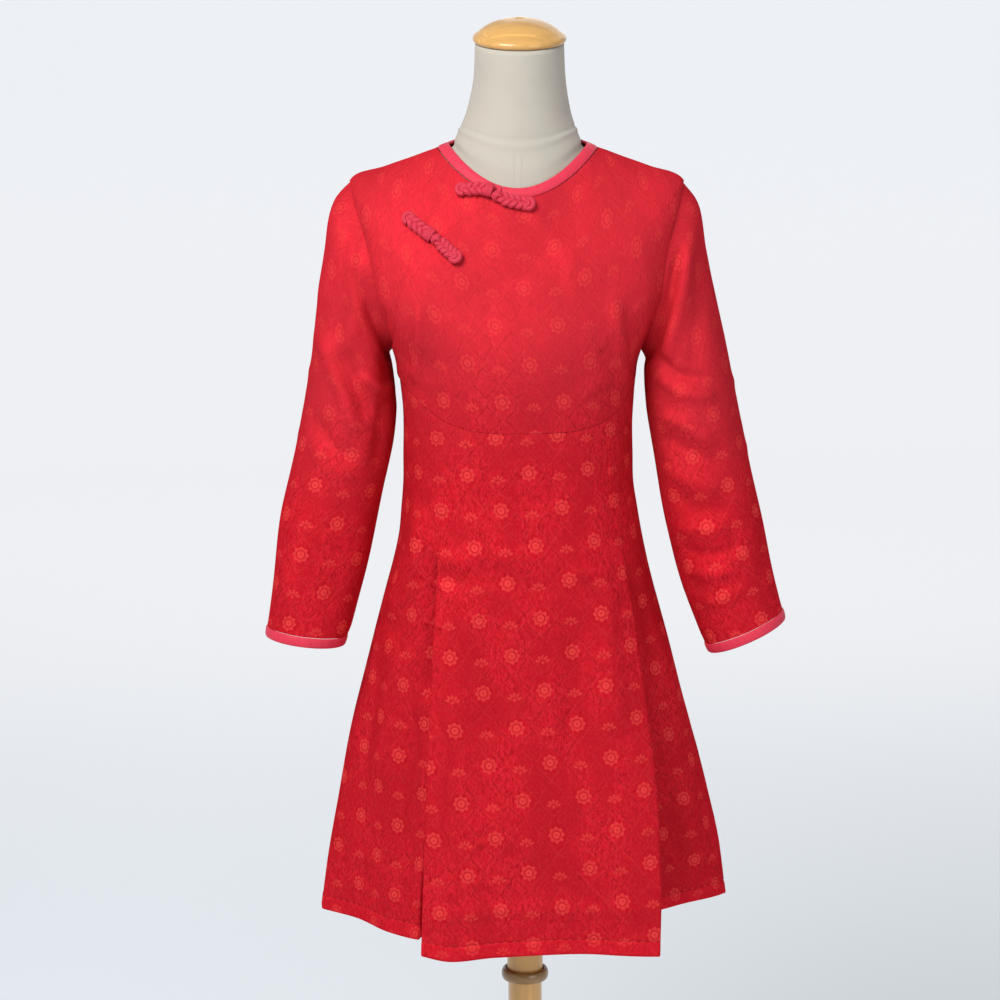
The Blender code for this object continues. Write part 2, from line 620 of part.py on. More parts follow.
# ---------------------------------------------------------------- build
def build_dress():
    half = SEAM / 2
    # front above the under-bust seam, with the slanting lap edge
    side_rows = [NECK_V + NECK_GAP] + YOKE_ROWS + armhole_rows() + [bust_v(90) - half]
    top, bottom = side_rows[0], side_rows[-1]
    t_rows = [(v - top) / (bottom - top) for v in side_rows]
    s_front = [(u + 90.0) / 180.0 for u in BUST_US]
    panel("bodice_front", front_surface,
          lambda v: -90.0 + degrees_for(half, 88, v), front_right_u,
          lap_v_at,
          lambda s: bust_v(-90.0 + 180.0 * s) - half, s_front, t_rows, halves=True)

    # shoulder piece under the lap
    def lap_u(v):
        rows = [(vv, uu) for uu, vv in LAP_EDGE]
        return lookup(rows, v, 1)

    def under_right(v):
        tuck = 0.022 * (1 - smooth((v - 0.150) / 0.038)) - 0.0006 * smooth((v - 0.17) / 0.02)
        return lap_u(v) + degrees_for(tuck, lap_u(v), v)

    low = ARMPIT_V - 0.0012
    rows = [NECK_V + NECK_GAP] + YOKE_ROWS + armhole_rows()[:-1] + [low]
    panel("bodice_under_lap", body,
          lambda v: -front_right_u(v), under_right,
          lambda s: rows[0], lambda s: low, even(10),
          [(v - rows[0]) / (low - rows[0]) for v in rows])

    # skirt front: centre panel and two side panels
    v_rows = [0.0, 0.07, 0.14, 0.20, 0.245, 0.285, 0.34, 0.41, 0.49, 0.57, 0.65, 0.74, 0.83,
              0.92, 1.0]
    panel("skirt_front_centre", centre_surface,
          lambda v: centre_edge(v, -1) + degrees_for(half, 40, v),
          lambda v: centre_edge(v, 1) - degrees_for(half, 40, v),
          lambda s: bust_v(-44 + 84 * s) + half, lambda s: HEM_V + lookup(CENTRE_HEM, s, 1),
          [(u + 44.0) / 84.0 for u in BUST_US if -44 <= u <= 40], v_rows)

    def under_edge(v, side):
        """Inner edge of a side panel: on the seam above the pleat, tucked in below it."""
        e = centre_edge(v, side)
        seam = degrees_for(half + 0.0002, 40, v)
        q = smooth((v - RELEASE_V - 0.006) / 0.16)
        goal = -21.0 if side < 0 else 24.0
        return (e + side * seam) * (1 - q) + goal * q

    panel("skirt_front_side_r", side_surface,
          lambda v: -90.0 + degrees_for(half, 88, v), lambda v: under_edge(v, -1),
          lambda s: bust_v(-90 + 46 * s) + half, lambda s: HEM_V,
          [(u + 90.0) / 46.0 for u in BUST_US if u <= -44], v_rows)
    panel("skirt_front_side_l", side_surface,
          lambda v: under_edge(v, 1), lambda v: 90.0 - degrees_for(half, 88, v),
          lambda s: bust_v(40 + 50 * s) + half, lambda s: HEM_V,
          [(u - 40.0) / 50.0 for u in BUST_US if u >= 40], v_rows)

    # pleat returns: from behind the edge of the centre panel to the inner edge of a side panel
    for name, side in (("pleat_return_r", -1), ("pleat_return_l", 1)):
        outer, inner = [], []
        for v in (0.425, 0.46, 0.50, 0.55, 0.61, 0.68, 0.75, HEM_V - 0.001):
            e = centre_edge(v, side)
            e -= side * degrees_for(0.0022, 40, v)
            n = normal_of(centre_surface, e, v)
            a = centre_surface(e, v) - n * (CLOTH * 1.5 + 0.0012)
            w = under_edge(v, side)
            w += side * degrees_for(0.0015, 40, v)
            b = side_surface(w, v) + normal_of(side_surface, w, v) * (CLOTH / 2 + 0.0010)
            across = b - a
            down = Vector((0, 0, -1))
            n2 = across.cross(down).normalized() * side
            outer.append([a + across * f - n2 * (CLOTH / 2) for f in (0.0, 0.33, 0.67, 1.0)])
            inner.append([a + across * f + n2 * (CLOTH / 2) for f in (0.0, 0.33, 0.67, 1.0)])
        shell(name, "jacquard_red", outer, inner)

    # back in one piece from the neck to the hem
    back_rows = ([NECK_V + NECK_GAP] + YOKE_ROWS + armhole_rows()
                 + [0.215, 0.250, 0.300, 0.360, 0.430, 0.510, 0.590, 0.670, 0.750, HEM_V])
    top = back_rows[0]
    panel("back", body,
          lambda v: arm_u_back(v) + degrees_for(half, 95, v),
          lambda v: 360.0 - arm_u_back(v) - degrees_for(half, 95, v),
          lambda s: top, lambda s: HEM_V, even(16),
          [(v - top) / (HEM_V - top) for v in back_rows])

    for name, table, side in (("sleeve_r", SLEEVE_R, -1), ("sleeve_l", SLEEVE_L, 1)):
        outer, inner = sleeve_points(table, side, CLOTH)
        shell(name, "jacquard_red", outer, inner, closed=True)
    cuff("cuff_binding_r", SLEEVE_R, -1)
    cuff("cuff_binding_l", SLEEVE_L, 1)
    neck_binding()
    frog_pad("frog_1_loop", FROG_1_LOOP, False)
    frog_pad("frog_1_knot", FROG_1_KNOT, True)
    frog_pad("frog_2_loop", FROG_2_LOOP, False)
    frog_pad("frog_2_knot", FROG_2_KNOT, True)


def build_form():
    around = 32
    rings = []
    for row in FORM:
        rings.append([ring_point(360.0 * k / around, *row) for k in range(around)])
    tube("form_body", "form_cream", rings)
    tilt = radians(12.6)
    cap_profile = [(0.0, 0.0), (0.046, 0.0), (0.0500, 0.0010), (0.0512, 0.0040),
                   (0.0500, 0.0072), (0.0470, 0.0092), (0.0400, 0.0150), (0.0290, 0.0208),
                   (0.0150, 0.0246), (0.0, 0.0258)]
    lathe("neck_cap", "wood_honey", cap_profile, 32,
          centre=(-0.0060, -0.0121, 1.4697), tilt=tilt)
    pole_profile = [(0.0, BASE_T + 0.0104), (POLE_LOW_R, BASE_T + 0.0104),
                    (POLE_LOW_R, POLE_STEP_Z), (POLE_R, POLE_STEP_Z + 0.004),
                    (POLE_R, FORM_BOTTOM - SEAM), (0.0, FORM_BOTTOM - SEAM)]
    lathe("pole", "wood_honey", pole_profile, 24)
    ring_profile = []
    for k in range(10):
        a = 2 * pi * k / 10
        ring_profile.append((POLE_R + 0.0005 + 0.0030 * (1 + cos(a)),
                             POLE_STEP_Z + 0.0065 * sin(a)))
    lathe("pole_ring", "wood_honey", ring_profile, 24, hollow=True)
    base_profile = [(0.0, 0.0), (BASE_R - 0.006, 0.0), (BASE_R, 0.005), (BASE_R, 0.014),
                    (BASE_R - 0.006, 0.020), (BASE_R - 0.016, 0.0225),
                    (BASE_R - 0.060, BASE_T), (0.036, BASE_T + 0.004), (0.030, BASE_T + 0.010),
                    (0.0, BASE_T + 0.010)]
    lathe("base", "wood_honey", base_profile, 40)


clear_scene()
build_dress()
build_form()
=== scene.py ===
"""Jacquard dress in the cheongsam manner on a limbless dress form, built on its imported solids.

Metres, Z up, the wearer faces -Y.  Each piece of cloth lies on the same surface as its
solid: angle u is 0 at the centre front, +90 at the +X side and 180 at the centre back,
and length v runs from the neckline down.
"""

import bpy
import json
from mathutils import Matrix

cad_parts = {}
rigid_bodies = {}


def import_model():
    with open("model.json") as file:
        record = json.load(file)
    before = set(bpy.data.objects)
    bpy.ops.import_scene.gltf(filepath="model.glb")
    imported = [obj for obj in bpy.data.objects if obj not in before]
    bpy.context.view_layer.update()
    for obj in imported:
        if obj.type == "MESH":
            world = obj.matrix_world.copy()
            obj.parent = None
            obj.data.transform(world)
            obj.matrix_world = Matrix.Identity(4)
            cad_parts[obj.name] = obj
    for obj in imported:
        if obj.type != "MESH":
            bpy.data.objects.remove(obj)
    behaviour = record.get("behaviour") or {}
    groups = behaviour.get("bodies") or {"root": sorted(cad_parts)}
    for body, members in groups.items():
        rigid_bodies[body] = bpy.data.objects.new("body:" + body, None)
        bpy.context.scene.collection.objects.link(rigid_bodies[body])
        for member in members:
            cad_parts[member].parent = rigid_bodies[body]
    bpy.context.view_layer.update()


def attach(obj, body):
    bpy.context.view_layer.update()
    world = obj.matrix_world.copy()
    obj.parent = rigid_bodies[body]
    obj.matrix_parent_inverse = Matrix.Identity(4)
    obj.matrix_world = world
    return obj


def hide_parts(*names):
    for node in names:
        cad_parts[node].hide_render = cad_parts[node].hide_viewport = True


bl_info = {
    "name": "Jacquard Dress On A Form",
    "version": (1, 0, 0),
    "blender": (4, 5, 0),
    "location": "View3D > Sidebar > Dress",
    "description": "Round-necked jacquard dress with braided frogs, on a limbless dress form",
    "category": "Add Mesh",
}

import json
from math import cos, pi, radians, sin

import bmesh
import bpy
import numpy as np
from mathutils import Vector

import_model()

# ---------------------------------------------------------------- sizes shared with the solids
CLOTH = 0.0014                  # thickness of the cloth
SEAM = 0.0004                   # gap between two sewn edges
HALF_SEAM = SEAM / 2
LAP_LIFT, LAP_NEAR, LAP_FAR = 0.0026, 0.030, 0.085      # full lift up to near, none past far
NECK_V, NECK_GAP = 0.012, 0.0009
CLOTH_TOP = NECK_V + NECK_GAP   # upper edge of the cloth, under the neck binding
SHOULDER_V, ARMPIT_V = 0.105, 0.195
ARM_BITE = 32.0
SHOULDER_U = 87.0
BUST_V, BUST_RISE = 0.265, 0.050
RELEASE_V, HEM_V = 0.394, 0.830
CENTRE_PROUD = 0.0024
SLEEVE_TUCK, SLEEVE_UNDER = 0.0030, 0.0017              # a sleeve starts this far in and under
STITCH_UP = 0.0165              # hem stitching above the edge
STITCH_ROWS = np.linspace(0.0125, 0.0205, 9)    # rows of faces across the stitching
HOLE_STEPS = 72                 # steps round one side of an armhole
SLEEVE_LENGTH, SLEEVE_STEPS = 0.52, 108     # the second in steps round a sleeve
CHEST_Z, DEEPEST = 1.07, (-0.0016, -0.0060)     # deepest folds above and below this height,
                                # because the form stands close behind the chest
FORM_SEAM_X = -0.0075           # centre-front seam of the form's cover

# v, z front / side / back, half width, depth front / back, power, x, y, turn
BODY = np.array([
    (0, 1.3135, 1.36, 1.376, 0.076, 0.076, 0.06, 2, -0.008, 0, 0),
    (0.012, 1.3025, 1.356, 1.37, 0.088, 0.0815, 0.068, 2, -0.0082, 0, 0),
    (0.04, 1.277, 1.3475, 1.349, 0.112, 0.09, 0.083, 2.1, -0.0085, 0, 0),
    (0.07, 1.249, 1.336, 1.32, 0.145, 0.0985, 0.096, 2.2, -0.0087, 0, 0),
    (0.105, 1.215, 1.32, 1.286, 0.1838, 0.108, 0.104, 2.3, -0.009, 0, 0),
    (0.13, 1.19, 1.276, 1.255, 0.185, 0.114, 0.107, 2.4, -0.009, 0, 0.8),
    (0.16, 1.159, 1.216, 1.208, 0.175, 0.1215, 0.107, 2.4, -0.0088, 0, 1.8),
    (0.18, 1.1385, 1.168, 1.169, 0.153, 0.125, 0.1055, 2.4, -0.0086, 0, 2.5),
    (0.195, 1.123, 1.135, 1.14, 0.1372, 0.1255, 0.104, 2.4, -0.0085, 0, 3),
    (0.215, 1.103, 1.106, 1.109, 0.1312, 0.1245, 0.102, 2.4, -0.0085, 0, 4),
    (0.24, 1.0775, 1.077, 1.078, 0.1284, 0.121, 0.1, 2.4, -0.008, 0, 5),
    (0.265, 1.0525, 1.052, 1.0525, 0.1272, 0.117, 0.099, 2.4, -0.008, 0, 5.8),
    (0.3, 1.017, 1.017, 1.017, 0.1276, 0.1155, 0.0985, 2.4, -0.008, 0.001, 6.2),
    (0.33, 0.987, 0.987, 0.987, 0.1279, 0.116, 0.1, 2.4, -0.0078, 0.002, 6.5),
    (0.36, 0.957, 0.957, 0.957, 0.1315, 0.1195, 0.103, 2.4, -0.0068, 0.003, 6.8),
    (0.394, 0.923, 0.923, 0.923, 0.137, 0.124, 0.108, 2.4, -0.0054, 0.005, 7),
    (0.463, 0.854, 0.854, 0.854, 0.1542, 0.133, 0.119, 2.4, -0.005, 0.01, 7),
    (0.549, 0.768, 0.768, 0.768, 0.1764, 0.144, 0.129, 2.4, -0.0047, 0.015, 7),
    (0.654, 0.663, 0.663, 0.663, 0.2035, 0.161, 0.139, 2.4, -0.0024, 0.021, 7),
    (0.76, 0.557, 0.557, 0.557, 0.2265, 0.177, 0.148, 2.4, 0.0006, 0.027, 7),
    (0.83, 0.487, 0.487, 0.487, 0.2365, 0.186, 0.153, 2.4, 0.0008, 0.03, 7),
    (0.87, 0.447, 0.447, 0.447, 0.242, 0.19, 0.1555, 2.4, 0.001, 0.031, 7),
])
# lap edge u, v; pleat edges v, u on -X, u on +X; hem in plan u, x, y, z
LAP_EDGE = np.array([
    (-12, 0.0129), (-20, 0.034), (-26, 0.058), (-30, 0.085), (-33.5, 0.115),
    (-40, 0.148), (-51, 0.172), (-63, 0.184), (-75, 0.1906), (-90, 0.1958)])
CENTRE_EDGE = np.array([
    (0.255, -44, 40), (0.3, -43.5, 41), (0.35, -43, 42), (0.394, -42.6, 42.4),
    (0.47, -38.5, 39.6), (0.556, -34.7, 36.4), (0.643, -32.1, 32.8), (0.73, -30.8, 28.9),
    (0.85, -29.4, 25)])
# hem of the centre panel below the side panels: share of its width, drop
CENTRE_HEM = np.array([(0, 0.003), (0.15, 0.0085), (0.35, 0.0046), (0.6, 0.003),
                       (0.82, 0.0075), (1, 0.01)])
HEM_SIDE_R = np.array([
    (-90, -0.234, 0.001, 0.487), (-76, -0.218, -0.012, 0.487),
    (-62, -0.189, -0.036, 0.4865), (-48, -0.1545, -0.082, 0.4865),
    (-34, -0.1187, -0.112, 0.4865), (-29, -0.112, -0.101, 0.487),
    (-20, -0.08, -0.098, 0.4875), (-8, -0.045, -0.097, 0.4875)])
HEM_SIDE_L = np.array([
    (8, 0.064, -0.064, 0.496), (22, 0.108, -0.056, 0.496),
    (36, 0.152, -0.037, 0.497), (48, 0.181, -0.015, 0.497),
    (62, 0.211, 0.008, 0.4965), (76, 0.2295, 0.033, 0.494),
    (90, 0.235, 0.059, 0.489)])
# x, z of the outer line, x, z of the inner line, y of the middle, half depth
SLEEVE_R = np.array([
    (-0.212, 1.293, -0.15, 1.129, -0.002, 0.063),
    (-0.22, 1.244, -0.147, 1.115, -0.003, 0.064),
    (-0.2282, 1.1946, -0.145, 1.102, -0.004, 0.062),
    (-0.2356, 1.1449, -0.1435, 1.086, -0.005, 0.06),
    (-0.2438, 1.0949, -0.1425, 1.064, -0.006, 0.058),
    (-0.2525, 1.0446, -0.147, 1.026, -0.008, 0.056),
    (-0.2625, 0.9941, -0.157, 0.979, -0.011, 0.054),
    (-0.2722, 0.9434, -0.1686, 0.93, -0.015, 0.052),
    (-0.2797, 0.8923, -0.18, 0.88, -0.02, 0.049),
    (-0.286, 0.845, -0.193, 0.833, -0.025, 0.046),
    (-0.2884, 0.8265, -0.1993, 0.8145, -0.027, 0.045)])
SLEEVE_L = np.array([
    (0.1925, 1.293, 0.1335, 1.124, -0.002, 0.063),
    (0.2, 1.244, 0.1325, 1.113, -0.003, 0.064),
    (0.21, 1.1946, 0.1325, 1.1, -0.004, 0.062),
    (0.2212, 1.1449, 0.1335, 1.084, -0.005, 0.06),
    (0.2318, 1.0949, 0.1355, 1.062, -0.006, 0.058),
    (0.2424, 1.05, 0.1415, 1.024, -0.008, 0.056),
    (0.253, 0.9985, 0.151, 0.974, -0.011, 0.054),
    (0.2636, 0.949, 0.164, 0.922, -0.015, 0.052),
    (0.2742, 0.899, 0.177, 0.868, -0.02, 0.049),
    (0.2845, 0.859, 0.193, 0.823, -0.025, 0.046),
    (0.288, 0.845, 0.2015, 0.806, -0.027, 0.045)])
# form rings: z front / side / back, half width, depth front / back, power, x, y, turn
FORM = np.array([
    (1.458, 1.469, 1.48, 0.0485, 0.05, 0.048, 2, -0.006, -0.012, 0),
    (1.42, 1.43, 1.44, 0.0505, 0.052, 0.049, 2, -0.006, -0.008, 0),
    (1.386, 1.396, 1.408, 0.057, 0.057, 0.052, 2, -0.007, -0.003, 0),
    (1.36, 1.377, 1.392, 0.064, 0.062, 0.054, 2, -0.0078, 0, 0),
    (1.335, 1.365, 1.38, 0.069, 0.0675, 0.0555, 2, -0.008, 0, 0),
    (1.309, 1.355, 1.37, 0.074, 0.072, 0.057, 2, -0.008, 0, 0),
    (1.275, 1.3425, 1.346, 0.109, 0.0865, 0.0795, 2.1, -0.0085, 0, 0),
    (1.245, 1.331, 1.316, 0.14, 0.0945, 0.092, 2.2, -0.0087, 0, 0),
    (1.212, 1.313, 1.282, 0.168, 0.1035, 0.0995, 2.3, -0.009, 0, 0),
    (1.189, 1.27, 1.252, 0.169, 0.11, 0.1025, 2.4, -0.009, 0, 0.8),
    (1.158, 1.212, 1.206, 0.158, 0.117, 0.1025, 2.4, -0.0088, 0, 1.8),
    (1.122, 1.135, 1.14, 0.1325, 0.121, 0.0995, 2.4, -0.0085, 0, 3),
    (1.09, 1.092, 1.094, 0.124, 0.117, 0.096, 2.3, -0.0083, 0, 4),
    (1.03, 1.03, 1.03, 0.117, 0.101, 0.09, 2.2, -0.008, 0, 5.5),
    (0.97, 0.97, 0.97, 0.114, 0.096, 0.09, 2.2, -0.007, 0.001, 6.5),
    (0.9, 0.9, 0.9, 0.129, 0.1, 0.1, 2.3, -0.005, 0.003, 7),
    (0.82, 0.82, 0.82, 0.145, 0.103, 0.11, 2.3, -0.004, 0.006, 7),
    (0.77, 0.77, 0.77, 0.148, 0.101, 0.112, 2.3, -0.003, 0.006, 7),
    (0.735, 0.735, 0.735, 0.145, 0.098, 0.11, 2.3, -0.003, 0.006, 7),
    (0.728, 0.728, 0.728, 0.139, 0.093, 0.105, 2.3, -0.003, 0.006, 7)])

# frogs: radius of a cord, turns of a plait, and its path over the cloth: u, v, height of its
# middle over the surface
CORD_R, PLAIT_TURNS = 0.00305, 1.6
PLAIT_WIDE, PLAIT_DEEP = 0.0048, 0.0016         # how far its strands swing from the middle
FROG_PATHS = {
    "frog_1_loop": [(-37.5, 0.03, 0.0038), (-32, 0.0215, 0.0042), (-25, 0.013, 0.0048),
                    (-17.5, 0.0105, 0.0056)],
    "frog_1_knot": [(9.6, 0.0222, 0.0062), (2.5, 0.019, 0.0062), (-5.5, 0.0165, 0.0064),
                    (-11.5, 0.015, 0.0066)],
    "frog_2_loop": [(-44.6, 0.0848, 0.0038), (-40.2, 0.0845, 0.004), (-35.6, 0.0842, 0.0046),
                    (-31, 0.084, 0.0062)],
    "frog_2_knot": [(-18.4, 0.0925, 0.0064), (-21.6, 0.0895, 0.0064), (-24.8, 0.087, 0.0064),
                    (-28, 0.0852, 0.0066)],
}

# soft folds by piece and facing (-1 front, 1 back): x, z of each point, then half width and
# height over the cloth
FOLDS = {
    ("bodice_under_lap_cloth", -1): [
        (-0.093, 1.336, -0.092, 1.311, -0.091, 1.276, 0.0045, -0.001)],
    ("bodice_front_cloth", -1): [
        (-0.088, 1.3, -0.09, 1.27, -0.094, 1.24, 0.006, -0.0008),
        (-0.006, 1.29, 0.021, 1.253, 0.05, 1.214, 0.005, -0.0011),
        (0.004, 1.29, 0.033, 1.255, 0.062, 1.214, 0.009, 0.0012),
        (-0.073, 1.233, -0.057, 1.22, -0.041, 1.209, 0.0022, 0.0007),
        (-0.128, 1.184, -0.125, 1.152, -0.124, 1.122, 0.006, -0.003),
        (-0.114, 1.18, -0.115, 1.147, -0.12, 1.107, 0.0065, 0.0034),
        (-0.102, 1.18, -0.096, 1.148, -0.101, 1.112, 0.0105, -0.003),
        (0.076, 1.205, 0.088, 1.163, 0.097, 1.12, 0.011, -0.0024),
        (0.092, 1.196, 0.103, 1.15, 0.11, 1.1, 0.008, 0.0028),
        (0.112, 1.19, 0.117, 1.15, 0.119, 1.11, 0.006, -0.0026),
        (0.06, 1.09, 0.085, 1.11, 0.104, 1.135, 0.009, 0.0014),
        (-0.07, 1.1, -0.09, 1.12, -0.1, 1.14, 0.01, 0.0012)],
    ("skirt_front_side_r_cloth", -1): [
        (-0.112, 0.96, -0.122, 0.905, -0.152, 0.84, 0.011, 0.006),
        (-0.091, 0.906, -0.096, 0.849, -0.102, 0.76, 0.012, -0.0085),
        (-0.139, 0.81, -0.152, 0.745, -0.16, 0.66, 0.015, 0.005),
        (-0.162, 0.79, -0.178, 0.7, -0.192, 0.6, 0.012, -0.0038),
        (-0.122, 0.73, -0.128, 0.62, -0.134, 0.5, 0.012, -0.004)],
    ("skirt_front_centre_cloth", -1): [
        (-0.088, 0.914, -0.076, 0.912, -0.06, 0.908, 0.0075, 0.0034),
        (-0.092, 0.898, -0.08, 0.892, -0.066, 0.884, 0.0065, -0.0022),
        (0.052, 0.905, 0.078, 0.896, 0.1, 0.868, 0.012, 0.004),
        (-0.05, 0.902, -0.016, 0.896, 0.02, 0.876, 0.012, -0.003),
        (0.084, 0.86, 0.094, 0.8, 0.098, 0.73, 0.013, 0.0034),
        (0.06, 0.85, 0.052, 0.77, 0.05, 0.68, 0.016, -0.003),
        (-0.062, 0.88, -0.072, 0.8, -0.078, 0.72, 0.015, 0.0026),
        (-0.03, 0.86, -0.034, 0.76, -0.03, 0.66, 0.018, -0.0024),
        (-0.092, 0.53, -0.005, 0.537, 0.082, 0.53, 0.14, 0.53, 0.0085, 0.0018),
        (-0.04, 0.64, 0.02, 0.6, 0.07, 0.575, 0.02, 0.002)],
    ("skirt_front_side_l_cloth", -1): [
        (0.112, 0.905, 0.134, 0.84, 0.15, 0.77, 0.008, -0.003),
        (0.094, 0.922, 0.103, 0.86, 0.112, 0.79, 0.01, -0.006),
        (0.142, 0.82, 0.161, 0.765, 0.18, 0.7, 0.01, 0.0036),
        (0.158, 0.7, 0.181, 0.622, 0.2, 0.54, 0.013, 0.0048),
        (0.146, 0.68, 0.162, 0.6, 0.172, 0.52, 0.01, -0.0036)],
    ("sleeve_r_cloth", -1): [
        (-0.206, 1.283, -0.214, 1.239, -0.221, 1.19, 0.009, 0.0026),
        (-0.186, 1.262, -0.191, 1.214, -0.204, 1.155, 0.007, -0.0026),
        (-0.176, 1.24, -0.18, 1.19, -0.192, 1.14, 0.008, 0.0024),
        (-0.222, 1.15, -0.21, 1.12, -0.196, 1.088, -0.188, 1.052, 0.01, 0.0052),
        (-0.2, 1.13, -0.186, 1.1, -0.17, 1.066, 0.011, -0.005),
        (-0.178, 1.108, -0.161, 1.095, -0.146, 1.088, 0.007, 0.0046),
        (-0.15, 1.14, -0.152, 1.08, -0.162, 1.01, 0.008, -0.0042),
        (-0.232, 1.06, -0.212, 1.035, -0.19, 1.018, 0.0085, -0.0026),
        (-0.236, 1.035, -0.214, 1.01, -0.19, 0.996, 0.009, 0.0024),
        (-0.196, 0.972, -0.206, 0.905, -0.216, 0.85, 0.015, -0.0026),
        (-0.248, 0.96, -0.256, 0.9, -0.262, 0.85, 0.013, 0.0024)],
    ("sleeve_l_cloth", -1): [
        (0.168, 1.245, 0.152, 1.181, 0.139, 1.126, 0.0055, -0.0042),
        (0.18, 1.257, 0.168, 1.19, 0.155, 1.13, 0.008, 0.0034),
        (0.194, 1.22, 0.188, 1.16, 0.18, 1.11, 0.01, -0.0026),
        (0.142, 1.132, 0.164, 1.112, 0.194, 1.106, 0.006, -0.0036),
        (0.146, 1.108, 0.17, 1.09, 0.204, 1.086, 0.0075, 0.0034),
        (0.15, 1.064, 0.175, 1.056, 0.206, 1.036, 0.008, 0.0036),
        (0.15, 1.04, 0.178, 1.028, 0.212, 1.012, 0.008, -0.003),
        (0.158, 1.006, 0.183, 0.992, 0.214, 0.986, 0.009, 0.0036),
        (0.166, 0.972, 0.19, 0.962, 0.22, 0.962, 0.009, -0.0026),
        (0.17, 0.94, 0.193, 0.937, 0.224, 0.944, 0.008, 0.0032),
        (0.18, 0.914, 0.204, 0.912, 0.234, 0.92, 0.007, -0.0028),
        (0.183, 0.892, 0.202, 0.888, 0.232, 0.895, 0.007, 0.003),
        (0.192, 0.858, 0.212, 0.86, 0.242, 0.872, 0.007, 0.0024)],
    ("back_cloth", 1): [
        (-0.08, 1.06, -0.01, 1.048, 0.07, 1.058, 0.011, -0.0026),
        (-0.075, 1.032, 0, 1.02, 0.062, 1.03, 0.012, 0.0028),
        (-0.06, 1, 0.01, 0.99, 0.08, 1.002, 0.011, -0.0024),
        (-0.12, 1.17, -0.095, 1.13, -0.08, 1.08, 0.011, 0.0026),
        (0.112, 1.17, 0.09, 1.125, 0.072, 1.085, 0.012, 0.0028),
        (-0.05, 0.9, -0.066, 0.74, -0.084, 0.52, 0.02, 0.0075),
        (-0.012, 0.88, -0.018, 0.72, -0.02, 0.51, 0.02, -0.007),
        (0.04, 0.89, 0.052, 0.73, 0.062, 0.51, 0.021, 0.008),
        (0.092, 0.86, 0.112, 0.72, 0.134, 0.52, 0.018, -0.0065),
        (-0.104, 0.85, -0.128, 0.72, -0.152, 0.52, 0.018, -0.006)],
    ("sleeve_r_cloth", 1): [
        (-0.24, 1.11, -0.2, 1.085, -0.155, 1.08, 0.009, 0.0036),
        (-0.244, 1.075, -0.205, 1.055, -0.16, 1.05, 0.009, -0.0034),
        (-0.252, 1.04, -0.215, 1.025, -0.17, 1.02, 0.009, 0.0034),
        (-0.186, 1.24, -0.176, 1.19, -0.16, 1.14, 0.009, -0.0034)],
    ("sleeve_l_cloth", 1): [
        (0.234, 1.1, 0.196, 1.082, 0.15, 1.078, 0.009, 0.0034),
        (0.24, 1.062, 0.2, 1.048, 0.156, 1.046, 0.009, -0.0034),
        (0.246, 1.025, 0.208, 1.012, 0.162, 1.01, 0.01, 0.0036),
        (0.172, 1.24, 0.162, 1.19, 0.148, 1.14, 0.009, -0.0034)],
}


# ---------------------------------------------------------------- surfaces
def curve(table, key, column):
    """Smooth curve through one column of a table, whose first column rises."""
    if table[0, 0] > table[-1, 0]:
        table = table[::-1]
    keys, vals = table[:, 0], table[:, column]
    key = np.clip(key, keys[0], keys[-1])
    i = np.clip(np.searchsorted(keys, key, side="right") - 1, 0, len(keys) - 2)
    a, b = np.maximum(i - 1, 0), np.minimum(i + 2, len(keys) - 1)
    h = keys[i + 1] - keys[i]
    f = (key - keys[i]) / h
    m1 = (vals[i + 1] - vals[a]) / (keys[i + 1] - keys[a]) * h
    m2 = (vals[b] - vals[i]) / (keys[b] - keys[i]) * h
    f2, f3 = f * f, f * f * f
    return ((2 * f3 - 3 * f2 + 1) * vals[i] + (f3 - 2 * f2 + f) * m1
            + (3 * f2 - 2 * f3) * vals[i + 1] + (f3 - f2) * m2)


def smooth(x):
    x = np.clip(x, 0.0, 1.0)
    return x * x * (3 - 2 * x)


def unit(vectors):
    return vectors / np.maximum(np.linalg.norm(vectors, axis=-1, keepdims=True), 1e-12)


def ring(u, z_f, z_s, z_b, w, d_f, d_b, power, x_mid, y_mid, turn, z_pow=2):
    """Point of a rounded ring at angle u."""
    sx, cy = np.sin(np.radians(u)), np.cos(np.radians(u))
    e = 2.0 / power
    front = cy > 0
    x = w * np.sign(sx) * np.abs(sx) ** e
    y = np.where(front, -d_f, d_b) * np.abs(cy) ** e
    z = z_s + np.where(front, z_f - z_s, z_b - z_s) * np.abs(cy) ** z_pow
    ct, st = np.cos(np.radians(turn)), np.sin(np.radians(turn))
    return np.stack([x_mid + x * ct - y * st, y_mid + x * st + y * ct, z + 0 * x], -1)


def body(u, v):
    u, v = np.broadcast_arrays(np.asarray(u, float), np.asarray(v, float))
    return ring(u, *[curve(BODY, v, c) for c in range(1, 11)])


def normal_of(surface, u, v):
    along_u = surface(u + 0.4, v) - surface(u - 0.4, v)
    along_v = surface(u, v + 0.0012) - surface(u, v - 0.0012)
    return unit(np.cross(along_v, along_u))


def arm_u(v, back=1.0):
    """Edge of the armhole in degrees: towards the front, or with back -0.85 to the back."""
    f = (np.asarray(v, float) - SHOULDER_V) / (ARMPIT_V - SHOULDER_V)
    above = SHOULDER_U + (90.0 - SHOULDER_U) * smooth((v - 0.07) / (SHOULDER_V - 0.07))
    inside = 90.0 - back * ARM_BITE * np.sqrt(np.sin(pi * np.clip(f, 0.0, 1.0) ** 0.85))
    return np.where(f <= 0.0, above, np.where(f >= 1.0, 90.0, inside))


def arm_u_back(v):
    return arm_u(v, -0.85)


def degrees_for(length, u, v):
    return length / np.linalg.norm(body(u + 0.5, v) - body(u - 0.5, v), axis=-1)


def bust_v(u):
    return BUST_V - BUST_RISE * np.abs(np.sin(np.radians(u))) ** 3.2


